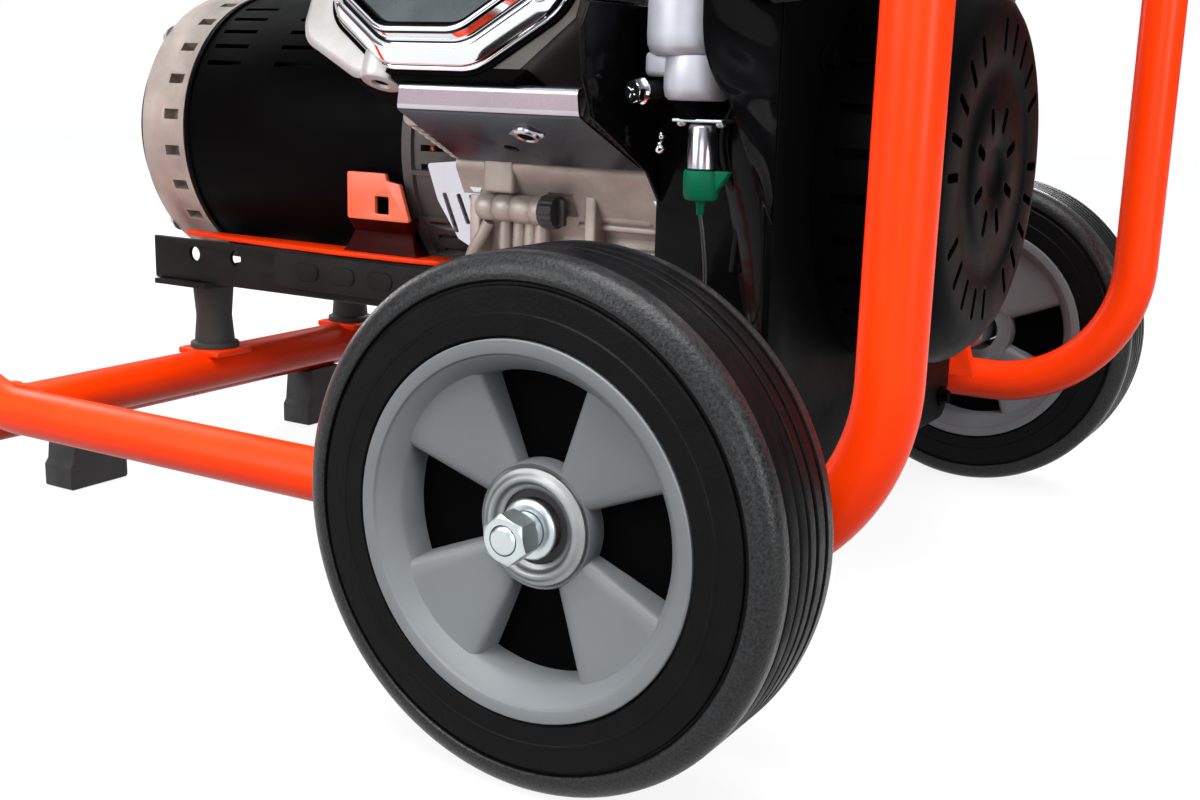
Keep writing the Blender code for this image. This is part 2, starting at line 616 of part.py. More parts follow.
def control_box():
    shell = box("control_box", BOX_X, BOX_Y, BOX_Z, PLASTIC)
    bevel(shell, 6.0, 2)
    face = BOX_Y[0] - GAP
    for i, x in enumerate((-40, 180)):
        strap = box(f"box_strap_{i}", (x - 10, x + 10), (BOX_Y[0] - 3, BOX_Y[0] + 1),
                    (BOX_Z[1] - 25, TOP_Z - 8.5), guide=True)
        join(shell, strap)
    lever = rod("breaker_lever", (0, 0, 0), 17, 4, "Z", PLASTIC, sides=12)
    tilt = Matrix.Rotation(math.radians(90 - BREAKER_TILT), 4, "X")
    pivot = Vector(BREAKER_PIVOT) * MM
    lever.matrix_world = Matrix.Translation(pivot) @ tilt @ Matrix.Translation((0, 0, -4 * MM))
    knob = rod("engine_switch", (40, face, 378), 9, 16, "-Y", RED, sides=24)
    fin = box("switch_fin", (37, 43), (face - 18, face - 7), (363, 393), guide=True)
    join(knob, fin)
    valve = rod("fuel_valve_lever", (150, 199, 430), 12, 7, "Y", RED, sides=16)
    arm = box("valve_arm", (146, 154), (205, 211), (392, 432), guide=True)
    join(valve, arm)


def handles():
    for side, label in ((1, "rear"), (-1, "front")):
        y = side * HANDLE_Y
        eye = rod(f"{label}_handle", (HANDLE_X, y - side * 12, HANDLE_Z), 24, 16,
                  "Y" if side > 0 else "-Y", BLACK, sides=24)
        bar = rod(f"{label}_bar", (HANDLE_X, y, HANDLE_Z - HANDLE_L), HANDLE_L, HANDLE_R, "Z",
                  sides=16, guide=True)
        hole = rod(f"{label}_eye_bore", (HANDLE_X, y - 20, HANDLE_Z), 40, 6.0 + GAP, "Y",
                   sides=16, guide=True)
        cut(join(eye, bar), hole)
        low = HANDLE_Z - HANDLE_L - 3
        turned(f"{label}_handle_grip", [
            (15, low + 112), (16, low + 108), (16, low + 6), (15, low), (0, low), (0, low + 2.7),
            (HANDLE_R + GAP, low + 2.7), (HANDLE_R + GAP, low + 112)], (HANDLE_X, y, 0), "Z",
            RUBBER, steps=14, ring=True)


frame()
axle()
wheel("rear", 1)
wheel("front", -1)
mounting()
crankcase()
crankshaft()
cylinder()
head_details()
blower()
carburettor()
intake_and_exhaust()
alternator()
tank()
control_box()
handles()
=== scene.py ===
"""Looks of the open-frame portable generator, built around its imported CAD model.

Lengths are in millimetres and are turned into metres by MM. As in the frame, the starter end is
-X, the alternator end +X, the rocker cover side +Y and the control box side -Y.
"""
import math

import bmesh
import bpy
from mathutils import Matrix, Vector


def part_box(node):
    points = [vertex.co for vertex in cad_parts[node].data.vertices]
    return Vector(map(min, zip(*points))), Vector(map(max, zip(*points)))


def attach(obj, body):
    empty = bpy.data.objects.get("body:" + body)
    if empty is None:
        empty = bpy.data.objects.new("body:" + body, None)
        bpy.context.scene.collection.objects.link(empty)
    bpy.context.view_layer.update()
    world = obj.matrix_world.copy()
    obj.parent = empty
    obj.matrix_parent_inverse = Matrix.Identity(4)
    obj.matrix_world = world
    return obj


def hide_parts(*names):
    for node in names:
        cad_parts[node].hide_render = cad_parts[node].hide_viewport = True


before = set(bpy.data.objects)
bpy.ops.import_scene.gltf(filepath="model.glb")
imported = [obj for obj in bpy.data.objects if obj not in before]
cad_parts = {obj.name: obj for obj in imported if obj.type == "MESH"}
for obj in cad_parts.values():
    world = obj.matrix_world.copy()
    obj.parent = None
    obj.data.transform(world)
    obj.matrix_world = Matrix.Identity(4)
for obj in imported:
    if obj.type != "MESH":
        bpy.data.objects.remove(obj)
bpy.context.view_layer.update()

MM = 0.001
scene = bpy.context.scene


# ---------------------------------------------------------------- places taken from the frame


def span(node):
    """Lowest and highest corner of a CAD node in millimetres."""
    low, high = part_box(node)
    return low / MM, high / MM


def centre(node):
    low, high = span(node)
    return (low + high) / 2


TYRE_LOW, TYRE_HIGH = span("rear_tyre")
AXLE = centre("rear_tyre")                      # wheel centre
TYRE_R = (TYRE_HIGH.z - TYRE_LOW.z) / 2
WHEEL_W = TYRE_HIGH.y - TYRE_LOW.y
FACE_Y = TYRE_HIGH.y
CRANK_Z = centre("alternator_rotor").z
HOOP_Y = centre("alternator_end_cross_member").y + 240.0
TUBE_R = (span("alternator_end_cross_member")[1].z - span("alternator_end_cross_member")[0].z) / 2
RAIL_Z = centre("alternator_end_cross_member").z
TOP_Z = centre("tank_bar_wheel_end").z
POST_X = centre("stand_bar").x
WHEEL_BAR_X = -152.0
FAR_BAR_X = centre("alternator_end_cross_member").x
LEAN = math.radians(25.0)                       # cylinder axis above the horizontal
CYL_X = -53.0
SOLENOID = centre("fuel_cut_solenoid")
FILLER_YZ = (105.0, 219.6)                      # axis of the oil filler boss and its cap


# ---------------------------------------------------------------- materials


def noise(nodes, links, coords, scale, detail=4.0, roughness=0.55):
    node = nodes.new("ShaderNodeTexNoise")
    node.inputs["Scale"].default_value = scale
    node.inputs["Detail"].default_value = detail
    node.inputs["Roughness"].default_value = roughness
    links.new(coords, node.inputs["Vector"])
    return node.outputs["Fac"]


def ramp(nodes, links, factor, low, high, start=0.3, end=0.7):
    """A colour or a grey level that goes from low to high with a factor."""
    node = nodes.new("ShaderNodeValToRGB")
    stops = node.color_ramp.elements
    for stop, place, value in ((stops[0], start, low), (stops[1], end, high)):
        stop.position = place
        stop.color = (*value, 1.0) if hasattr(value, "__len__") else (value, value, value, 1.0)
    links.new(factor, node.inputs["Fac"])
    return node.outputs["Color"]


def material(name, slot, colour, rough, metal=0.0, *, colour_2=None, patch=12.0, rough_2=None,
             rough_scale=60.0, grain=900.0, bump=0.1, depth=0.05, stretch=(1, 1, 1), coat=0.0,
             specular=0.5, detail=4.0):
    """A finish with a patchy colour, an uneven gloss and a fine grain that stands proud."""
    mat = bpy.data.materials.new(name)
    mat.use_nodes = True
    nodes, links = mat.node_tree.nodes, mat.node_tree.links
    shader = nodes["Principled BSDF"]
    shader.inputs["Metallic"].default_value = metal
    shader.inputs["Specular IOR Level"].default_value = specular
    shader.inputs["Coat Weight"].default_value = coat
    shader.inputs["Coat Roughness"].default_value = 0.08
    coords = nodes.new("ShaderNodeTexCoord").outputs["Object"]
    mapping = nodes.new("ShaderNodeMapping")
    mapping.inputs["Scale"].default_value = stretch
    links.new(coords, mapping.inputs["Vector"])
    place = mapping.outputs["Vector"]
    second = colour_2 or [c * 0.82 for c in colour]
    tint = ramp(nodes, links, noise(nodes, links, place, patch), colour, second)
    links.new(tint, shader.inputs["Base Color"])
    gloss = noise(nodes, links, place, rough_scale)
    links.new(ramp(nodes, links, gloss, rough, rough_2 or rough * 1.25), shader.inputs["Roughness"])
    relief = nodes.new("ShaderNodeBump")
    relief.inputs["Strength"].default_value = bump
    relief.inputs["Distance"].default_value = depth * MM
    links.new(noise(nodes, links, place, grain, detail), relief.inputs["Height"])
    links.new(relief.outputs["Normal"], shader.inputs["Normal"])
    mat["slot"] = slot
    return mat


ORANGE = material("powder_coat_orange", "orange_paint", (1.0, 0.045, 0.0005), 0.33,
                  colour_2=(0.95, 0.038, 0.0005), grain=420.0, bump=0.12, depth=0.08, coat=0.03,
                  specular=0.14)
BLACK = material("gloss_black_paint", "black_paint", (0.0022, 0.0022, 0.0026), 0.13,
                 colour_2=(0.004, 0.004, 0.0045), grain=70.0, bump=0.4, depth=0.9, detail=1.0,
                 specular=0.07)
PANEL = material("satin_black_paint", "black_paint", (0.0008, 0.0008, 0.0009), 0.4,
                 colour_2=(0.0014, 0.0014, 0.0014), grain=500.0, bump=0.1, depth=0.1, specular=0.025)
PLASTIC = material("textured_black_plastic", "black_plastic", (0.014, 0.014, 0.015), 0.5,
                   colour_2=(0.02, 0.02, 0.021), grain=1300.0, bump=0.5, depth=0.12)
SMOOTH_PLASTIC = material("smooth_black_plastic", "black_plastic", (0.012, 0.012, 0.013), 0.28,
                          colour_2=(0.016, 0.016, 0.017), grain=300.0, bump=0.05)
# Orange paint darkened as painted shade, for the bracket's neck under the alternator.
SHADED_ORANGE = material("painted_shade_orange", "orange_paint", (0.045, 0.0025, 0.001), 0.4,
                         colour_2=(0.022, 0.0015, 0.001), patch=25.0, grain=420.0, bump=0.12,
                         depth=0.08, specular=0.05)
# Orange paint lightened as a painted highlight, for the bracket's web.
HIGHLIGHT_ORANGE = material("painted_highlight_orange", "orange_paint", (1.0, 0.14, 0.055), 0.33,
                       colour_2=(0.95, 0.2, 0.1), patch=18.0, grain=420.0, bump=0.12, depth=0.08)
DEEP_BLACK = material("flat_black", "black_plastic", (0.0007, 0.0007, 0.0007), 0.6,
                      colour_2=(0.001, 0.001, 0.001), grain=900.0, bump=0.2, specular=0.02)
RUBBER = material("black_rubber", "rubber", (0.011, 0.011, 0.012), 0.62,
                  colour_2=(0.018, 0.018, 0.018), grain=1500.0, bump=0.35, depth=0.1)
TYRE_SIDE = material("tyre_sidewall", "tyre", (0.0012, 0.0012, 0.0013), 0.34, rough_2=0.55,
                     colour_2=(0.003, 0.003, 0.0033), patch=45.0, grain=600.0, bump=0.8,
                     depth=0.3, specular=0.075)
TYRE_GRAIN = material("tyre_grained_shoulder", "tyre", (0.001, 0.001, 0.001), 0.28, rough_2=0.42,
                      rough_scale=500.0, colour_2=(0.024, 0.0245, 0.026), patch=800.0,
                      grain=700.0, bump=0.7, depth=0.3, specular=0.22, detail=2.0)
GREY = material("moulded_grey_plastic", "grey_plastic", (0.152, 0.163, 0.171), 0.42, rough_2=0.55,
                colour_2=(0.132, 0.142, 0.149), patch=25.0, grain=1100.0, bump=0.12, depth=0.08,
                specular=0.35)
ZINC = material("bright_zinc", "zinc", (0.56, 0.61, 0.62), 0.26, 1.0, rough_2=0.4,
                colour_2=(0.44, 0.49, 0.51), patch=60.0, grain=700.0, bump=0.2, depth=0.1)
DULL_ZINC = material("satin_zinc", "zinc", (0.3, 0.31, 0.31), 0.44, 1.0, rough_2=0.56,
                     colour_2=(0.23, 0.24, 0.24), patch=80.0, grain=900.0, bump=0.25, depth=0.1)
# Zinc sheet darkened to blue-black as painted shade, for the shroud plate's faces that look down.
SHADED_ZINC_SHEET = material("painted_shade_zinc_sheet", "zinc", (0.02, 0.035, 0.065), 0.2, 0.7, rough_2=0.28,
                      colour_2=(0.03, 0.045, 0.06), patch=9.0, grain=140.0, bump=0.06, depth=0.2)
SHEET_ZINC = material("zinc_sheet", "zinc", (0.5, 0.55, 0.6), 0.2, 1.0, rough_2=0.28,
                      colour_2=(0.47, 0.42, 0.46), patch=14.0, grain=160.0, bump=0.05, depth=0.15)
CAST_DIM = material("dull_cast_aluminium", "cast_aluminium", (0.085, 0.077, 0.072), 0.5, 0.4,
                    colour_2=(0.055, 0.05, 0.046), patch=35.0, grain=600.0, bump=0.5, depth=0.25)
# Cast aluminium darkened as painted shade, for faces of the cylinder head.
CAST_SHADE = material("painted_shade_cast_aluminium", "cast_aluminium", (0.075, 0.067, 0.06), 0.5,
                      colour_2=(0.05, 0.045, 0.042), patch=30.0, grain=600.0, bump=0.4,
                      depth=0.2, specular=0.2)
# Zinc sheet tinted rose as a painted reflection, for the upright faces of the shroud plate's lip.
ROSE_REFLECTION_SHEET = material("painted_reflection_zinc_sheet", "zinc", (0.42, 0.33, 0.37), 0.24, 1.0, rough_2=0.3,
                      colour_2=(0.34, 0.3, 0.34), patch=20.0, grain=160.0, bump=0.05, depth=0.15)
CHROME = material("bright_cover", "bright_steel", (0.8, 0.82, 0.83), 0.06, 1.0, rough_2=0.11,
                  colour_2=(0.74, 0.77, 0.79), patch=8.0, grain=90.0, bump=0.04, depth=0.2)
DARK_CHROME = material("shaded_bright_cover", "bright_steel", (0.03, 0.034, 0.037), 0.12, 1.0,
                       colour_2=(0.02, 0.023, 0.026), patch=8.0, grain=90.0, bump=0.04)
CAST = material("cast_aluminium", "cast_aluminium", (0.46, 0.41, 0.37), 0.45, 0.6, rough_2=0.62,
                colour_2=(0.33, 0.29, 0.26), patch=35.0, grain=600.0, bump=0.5, depth=0.25)
CAST_PALE = material("pale_cast_aluminium", "cast_aluminium", (0.52, 0.51, 0.5), 0.42, 0.6,
                     rough_2=0.57, colour_2=(0.42, 0.41, 0.4), patch=40.0, grain=650.0,
                     bump=0.45, depth=0.2)
CARB = material("die_cast_zinc_alloy", "carburettor_metal", (0.53, 0.54, 0.6), 0.42, 0.35,
                rough_2=0.52, colour_2=(0.45, 0.46, 0.52), patch=60.0, grain=800.0, bump=0.3,
                depth=0.12)
STEEL = material("machined_steel", "steel", (0.5, 0.5, 0.5), 0.3, 1.0, colour_2=(0.4, 0.4, 0.4),
                 patch=30.0, grain=400.0, bump=0.1, stretch=(12, 1, 1))
DARK = material("dark_grey_steel", "dark_steel", (0.004, 0.0035, 0.0035), 0.5, specular=0.12,
                colour_2=(0.012, 0.011, 0.011), patch=30.0, grain=500.0, bump=0.35, depth=0.15)
MUFFLER = material("heat_paint", "dark_steel", (0.05, 0.05, 0.052), 0.6, 0.2,
                   colour_2=(0.085, 0.08, 0.076), patch=25.0, grain=800.0, bump=0.4, depth=0.2)
COPPER = material("enamelled_copper", "steel", (0.55, 0.16, 0.06), 0.28, 1.0,
                  colour_2=(0.4, 0.1, 0.035), patch=200.0, grain=1500.0, bump=0.5, depth=0.4)
GREEN = material("green_plastic", "green_plastic", (0.0, 0.115, 0.055), 0.42, specular=0.1,
                 colour_2=(0.0, 0.09, 0.042), patch=80.0, grain=900.0, bump=0.1)
RED = material("red_plastic", "red_plastic", (0.6, 0.02, 0.015), 0.3,
               colour_2=(0.5, 0.014, 0.012), grain=700.0, bump=0.08)
FACE_GREY = material("panel_face", "black_plastic", (0.06, 0.062, 0.066), 0.45,
                     colour_2=(0.05, 0.052, 0.055), grain=1400.0, bump=0.25, depth=0.08)
BRASS = material("brass_contact", "zinc", (0.6, 0.42, 0.15), 0.3, 1.0, colour_2=(0.5, 0.34, 0.12),
                 grain=600.0, bump=0.1)
PLAIN_WHITE = material("meter_face", "black_plastic", (0.75, 0.75, 0.72), 0.4, grain=500.0,
                       colour_2=(0.7, 0.7, 0.67), bump=0.03)
FIELD = material("dark_cover_field", "bright_steel", (0.1, 0.115, 0.12), 0.22, 1.0, rough_2=0.32,
                 colour_2=(0.07, 0.08, 0.085), patch=20.0, grain=300.0, bump=0.08)
GUARD_GREY = material("pale_guard", "zinc", (0.66, 0.69, 0.76), 0.35, 0.3, rough_2=0.45,
                      colour_2=(0.6, 0.62, 0.68), patch=30.0, grain=500.0, bump=0.1)
TANK = material("satin_tank_paint", "black_plastic", (0.01, 0.01, 0.011), 0.32, rough_2=0.4,
                colour_2=(0.014, 0.014, 0.015), grain=350.0, bump=0.15, depth=0.1, coat=0.1)
ROPE = material("braided_rope", "black_plastic", (0.02, 0.02, 0.02), 0.7,
                colour_2=(0.09, 0.09, 0.085), patch=900.0, grain=1400.0, bump=0.9, depth=0.5)


# ---------------------------------------------------------------- shapes

AXIS_TURN = {
    "X": Matrix.Rotation(math.radians(90), 4, "Y"),
    "-X": Matrix.Rotation(math.radians(-90), 4, "Y"),
    "Y": Matrix.Rotation(math.radians(-90), 4, "X"),
    "-Y": Matrix.Rotation(math.radians(90), 4, "X"),
    "Z": Matrix.Identity(4),
    "-Z": Matrix.Rotation(math.radians(180), 4, "X"),
}


def at(x, y, z, axis="Z", spin=0.0):
    """A place in millimetres whose own Z runs along an axis."""
    return turned(Matrix.Translation((x, y, z)) @ AXIS_TURN[axis], spin)


def turned(place, degrees, axis="Z"):
    """A place turned about one of its own axes."""
    return place @ Matrix.Rotation(math.radians(degrees), 4, axis)


def lifted(place, height):
    """A place moved along its own Z."""
    return place @ Matrix.Translation((0, 0, height))


def around(place, count, first=0.0):
    """Places spread evenly about a place's own Z."""
    return [turned(place, first + 360 / count * i) for i in range(count)]


def on_circle(radius, degrees):
    angle = math.radians(degrees)
    return radius * math.cos(angle), radius * math.sin(angle)


def outward(side):
    """The axis that points away from the machine on the +Y or the -Y side."""
    return "Y" if side > 0 else "-Y"


def quads(rows, size, closed=False, ring=True):
    """Faces between rows of points; ring closes each row and closed joins the last to the first."""
    faces = []
    for i in range(rows if closed else rows - 1):
        here, there = i * size, (i + 1) % rows * size
        for j in range(size if ring else size - 1):
            k = (j + 1) % size
            faces.append((here + j, here + k, there + k, there + j))
    return faces


def new_object(name, verts, faces, place=Matrix.Identity(4), marks=None):
    """A mesh from points in millimetres; marks give each face its material's number."""
    mesh = bpy.data.meshes.new(name)
    mesh.from_pydata([(place @ Vector(v)) * MM for v in verts], [], faces)
    if marks:
        mesh.polygons.foreach_set("material_index", marks)
    bm = bmesh.new()
    bm.from_mesh(mesh)
    bmesh.ops.remove_doubles(bm, verts=bm.verts, dist=1e-6)
    bmesh.ops.recalc_face_normals(bm, faces=bm.faces)
    bm.to_mesh(mesh)
    bm.free()
    obj = bpy.data.objects.new(name, mesh)
    scene.collection.objects.link(obj)
    return obj


def lathe(name, profile, place, steps=72, ring=True, mark=None):
    """A profile of (radius, height) turned about its own Z; mark(radius, height) numbers a face."""
    count = len(profile)
    verts = []
    for i in range(steps):
        turn = 2 * math.pi * i / steps
        verts += [(r * math.cos(turn), r * math.sin(turn), h) for r, h in profile]
    marks = []
    if mark:
        ends = zip(profile, profile[1:] + profile[:1])
        marks = [mark((a[0] + b[0]) / 2, (a[1] + b[1]) / 2) for a, b in ends][:count if ring else -1]
    return new_object(name, verts, quads(steps, count, True, ring), place, marks * steps)


def loft(name, rings, place=Matrix.Identity(4)):
    """A closed skin over rings that hold the same number of points."""
    size = len(rings[0])
    last = (len(rings) - 1) * size
    caps = [tuple(range(size)), tuple(range(last, last + size))]
    verts = [tuple(p) for ring in rings for p in ring]
    return new_object(name, verts, caps + quads(len(rings), size), place)


def prism(name, outline, low, high, place=Matrix.Identity(4)):
    """A flat outline of (u, v) extruded between two heights."""
    return loft(name, [[(u, v, h) for u, v in outline] for h in (low, high)], place)


def sheet(name, rows, thickness):
    """A bent sheet of even thickness over rows of points."""
    obj = new_object(name, [p for row in rows for p in row],
                     quads(len(rows), len(rows[0]), ring=False))
    solid = obj.modifiers.new("sheet", "SOLIDIFY")
    solid.thickness = thickness * MM
    solid.offset = 0.0
    return settle(obj)


def stepped(u, v, steps, radius, corner=8):
    """Round rectangles between (low, high) pairs, one for each (depth, height)."""
    rings = []
    for depth, height in steps:
        outline = round_rect((u[0] + depth, u[1] - depth), (v[0] + depth, v[1] - depth), radius, corner)
        rings.append([(a, b, height) for a, b in outline])
    return rings


def across_x(x):
    """Place for an outline of (y, z)."""
    return Matrix(((0, 0, 1, x), (1, 0, 0, 0), (0, 1, 0, 0), (0, 0, 0, 1)))


def across_y(y):
    """Place for an outline of (x, z); heights run towards -Y."""
    return Matrix(((1, 0, 0, 0), (0, 0, -1, y), (0, 1, 0, 0), (0, 0, 0, 1)))


def block(name, x, y, z, edge=1.0, segments=3):
    outline = [(x[0], y[0]), (x[1], y[0]), (x[1], y[1]), (x[0], y[1])]
    obj = prism(name, outline, z[0], z[1])
    return rounded(obj, edge, segments) if edge else obj


def rounded(obj, width, segments=3, degrees=30.0):
    """Rounds an object's sharp edges for good."""
    mod = obj.modifiers.new("edges", "BEVEL")
    mod.width = width * MM
    mod.segments = segments
    mod.limit_method = "ANGLE"
    mod.angle_limit = math.radians(degrees)
    return settle(obj)


def settle(obj):
    """Applies an object's modifiers."""
    bpy.context.view_layer.update()
    evaluated = obj.evaluated_get(bpy.context.evaluated_depsgraph_get())
    mesh = bpy.data.meshes.new_from_object(evaluated)
    obj.modifiers.clear()
    obj.data = mesh
    return obj


def boolean(obj, operation, *others):
    for other in others:
        mod = obj.modifiers.new(other.name, "BOOLEAN")
        mod.object = other
        mod.operation = operation
        mod.solver = "EXACT"
    settle(obj)
    for other in others:
        bpy.data.objects.remove(other)
    return obj


def cut(obj, *others):
    return boolean(obj, "DIFFERENCE", *others)


def weld(obj, *others):
    return boolean(obj, "UNION", *others)


def group(name, objects):
    """Puts separate solids of one kind into one object."""
    bm = bmesh.new()
    for obj in objects:
        obj.data.transform(obj.matrix_world)
        bm.from_mesh(obj.data)
        bpy.data.objects.remove(obj)
    mesh = bpy.data.meshes.new(name)
    bm.to_mesh(mesh)
    bm.free()
    joined = bpy.data.objects.new(name, mesh)
    scene.collection.objects.link(joined)
    return joined


def arc(u, v, radius, start, end, steps):
    angles = [math.radians(start + (end - start) * i / steps) for i in range(steps + 1)]
    return [(u + radius * math.cos(a), v + radius * math.sin(a)) for a in angles]


def circle(u, v, radius, steps=48):
    return arc(u, v, radius, 0, 360, steps)[:-1]


def round_rect(u, v, radius, steps=8):
    """Outline of a rectangle between (low, high) pairs with round corners."""
    points = arc(u[1] - radius, v[0] + radius, radius, -90, 0, steps)
    points += arc(u[1] - radius, v[1] - radius, radius, 0, 90, steps)
    points += arc(u[0] + radius, v[1] - radius, radius, 90, 180, steps)
    return points + arc(u[0] + radius, v[0] + radius, radius, 180, 270, steps)


def knurled(radius, depth, waves, steps):
    """A circle with an even wave on it."""
    turns = [2 * math.pi * i / steps for i in range(steps)]
    reach = [radius + depth * math.cos(turn * waves) for turn in turns]
    return [(r * math.cos(turn), r * math.sin(turn)) for r, turn in zip(reach, turns)]


def fillet(points, radius, steps=8, closed=True):
    """The same outline with each corner rounded by an arc of the radius, where it fits."""
    corners = [Vector(p) for p in points]
    count = len(corners)
    result = []
    for i, corner in enumerate(corners):
        back = corners[i - 1] - corner
        ahead = corners[(i + 1) % count] - corner
        loose_end = not closed and i in (0, count - 1)
        if loose_end or back.angle(ahead) > math.radians(177):
            result.append(corner)
            continue
        half = back.angle(ahead) / 2
        room = min(radius / math.tan(half), back.length * 0.48, ahead.length * 0.48)
        size = room * math.tan(half)
        middle = (back.normalized() + ahead.normalized()).normalized()
        hub = corner + middle * (size / math.sin(half))
        first = corner + back.normalized() * room - hub
        last = corner + ahead.normalized() * room - hub
        for j in range(steps + 1):
            share = j / steps
            spoke = first.slerp(last, share) if len(corner) == 3 else None
            if spoke is None:
                turn = first.angle_signed(last) * -share
                spoke = Vector((first.x * math.cos(turn) - first.y * math.sin(turn),
                                first.x * math.sin(turn) + first.y * math.cos(turn)))
            result.append(hub + spoke)
    return result


def smooth_path(points, steps=8):
    """A smooth line through given points."""
    ends = [Vector(points[0]) * 2 - Vector(points[1])]
    ends += [Vector(p) for p in points]
    ends.append(Vector(points[-1]) * 2 - Vector(points[-2]))
    line = []
    for a, b, c, d in zip(ends, ends[1:], ends[2:], ends[3:]):
        for i in range(steps):
            t = i / steps
            line.append(0.5 * ((2 * b) + (c - a) * t + (2 * a - 5 * b + 4 * c - d) * t ** 2
                               + (3 * b - a - 3 * c + d) * t ** 3))
    line.append(ends[-2])
    return line


def sweep(name, path, section, closed=False, sides=24):
    """A round bar, or an outline of (u, v), carried along a line of points."""
    path = [Vector(p) for p in path]
    count = len(path)
    outline = circle(0, 0, section, sides) if isinstance(section, (int, float)) else section
    size = len(outline)
    tangents = []
    for i in range(count):
        before = path[i - 1] if closed or i else path[0]
        after = path[(i + 1) % count] if closed or i < count - 1 else path[-1]
        tangents.append((after - before).normalized())
    start = Vector((0, 0, 1)) if abs(tangents[0].z) < 0.9 else Vector((0, 1, 0))
    up = (start - tangents[0] * start.dot(tangents[0])).normalized()
    verts = []
    for point, tangent in zip(path, tangents):
        up = (up - tangent * up.dot(tangent)).normalized()
        side = tangent.cross(up)
        verts += [point + side * u + up * v for u, v in outline]
    faces = quads(count, size, closed)
    if not closed:
        faces += [tuple(range(size)), tuple(range((count - 1) * size, count * size))]
    return new_object(name, verts, faces)


def rod(name, place, radius, length, edge=0.4, steps=40):
    """A cylinder with a small chamfer at both ends."""
    profile = [(0, 0), (radius - edge, 0), (radius, edge), (radius, length - edge),
               (radius - edge, length), (0, length)]
    return lathe(name, profile, place, steps, ring=False)


def hex_solid(name, place, across, height, chamfer=0.12, bore=0.0):
    """A hexagon bar whose two ends are turned down at the corners."""
    corner = across / math.sqrt(3)
    bar = prism(name, circle(0, 0, corner, 6), 0, height, place)
    drop = corner * chamfer
    limit = lathe(name + "_limit", [
        (0, -1), (across / 2 * 0.96, -1), (across / 2 * 0.96, 0), (corner * 1.02, drop),
        (corner * 1.02, height - drop), (across / 2 * 0.96, height), (across / 2 * 0.96, height + 1),
        (0, height + 1)], place, 64, ring=False)
    boolean(bar, "INTERSECT", limit)
    if bore:
        cut(bar, rod(name + "_bore", lifted(place, -2), bore, height + 4, 0.1))
    return bar


def bolt(place, across=10.0, head=6.0, flange=0.0, washer=0.0):
    """A hexagon head on its washer; its own Z points out of the work."""
    seat = lifted(place, 1.2 if washer else 0.0)
    solids = [hex_solid("bolt_head", seat, across, head)]
    if flange:
        solids.append(lathe("bolt_flange", [(0, 0.1), (flange, 0.1), (flange, 0.9),
                                            (across * 0.55, 2.2), (0, 2.2)], seat, 32, False))
    if washer:
        solids.append(rod("bolt_washer", place, washer, 1.2, 0.2, 32))
    return solids


def bolts(name, places, mat=None, **sizes):
    """One piece made of equal bolts."""
    solids = [solid for place in places for solid in bolt(place, **sizes)]
    return piece(group(name, solids), mat or ZINC, smooth=25)


def cross_recess(obj, place, reach, half, low, high, first=0):
    """Cuts two crossed bars into a head."""
    bar = [(-reach, -half), (reach, -half), (reach, half), (-reach, half)]
    return cut(obj, *[prism("recess", bar, low, high, turned(place, first + turn)) for turn in (0, 90)])


def screw(place, radius=4.0, head=2.4):
    """A pan-head screw with a cross recess."""
    dome = lathe("screw_head", [(0, head), (radius * 0.5, head * 0.97), (radius * 0.85, head * 0.7),
                                (radius, head * 0.25), (radius, 0), (0, 0)], place, 28, False)
    return [cross_recess(dome, place, radius * 0.5, radius * 0.13, head * 0.45, head + 1)]


def hose(name, route, radius, mat, sides=20):
    """A flexible line through given points."""
    return piece(sweep(name, smooth_path(route, 10), radius, sides=sides), mat, smooth=60)


def piece(obj, mats, body="frame", stands_for=(), smooth=38.0):
    """Finishes a piece: materials, shading, the body it rides on and the nodes it stands for."""
    mats = mats if isinstance(mats, (list, tuple)) else [mats]
    for mat in mats:
        obj.data.materials.append(mat)
    obj.data.shade_smooth()
    obj.data.set_sharp_from_angle(angle=math.radians(smooth))
    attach(obj, body)
    nodes = [stands_for] if isinstance(stands_for, str) else stands_for
    if nodes:
        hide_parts(*nodes)
    return obj


def mirrored(profile, depth):
    """A half profile of (radius, height) from a face inwards, with its twin from the other face."""
    return profile + [(r, -depth - h) for r, h in profile[::-1]]


# ---------------------------------------------------------------- wheels

LIP_R = 80.0
RIB_PITCH = 9.15
WASHER_IN = 13.0                 # cup washer's rim inside the wheel's face
SLEEVE_R = 11.2
BLADE_ARC = 45.0


def tyre_profile():
    half = [(80.35, -6.0), (80.5, -1.6), (81.4, -0.5), (88.9, -0.3), (89.4, 0.0), (90.2, 0.0),
            (90.8, -0.6), (100.2, -0.9), (101.0, -1.5), (101.4, -2.9), (102.4, -3.0), (103.0, -1.7),
            (103.6, -1.1), (104.6, -0.9), (106.6, -1.2), (109.0, -2.1), (111.2, -3.5),
            (112.9, -5.2), (113.9, -7.0), (TYRE_R - 0.02, -9.0), (TYRE_R, -10.0)]
    first = 13.6
    for i in range(2):
        rib = -first - i * RIB_PITCH
        half += [(TYRE_R, rib + 0.5), (TYRE_R - 0.3, rib), (TYRE_R - 1.9, rib - 0.4),
                 (TYRE_R - 2.0, rib - 1.0), (TYRE_R - 1.4, rib - 1.7), (TYRE_R - 0.3, rib - 2.3),
                 (TYRE_R, rib - 3.2)]
    middle = -WHEEL_W / 2
    half += [(TYRE_R, middle + 1.5), (TYRE_R - 0.3, middle + 1.1), (TYRE_R - 2.0, middle + 0.5)]
    return mirrored(half, WHEEL_W)


def grained(radius, height):
    return 1 if radius > 103.2 and (height > -13.2 or height < 13.2 - WHEEL_W) else 0


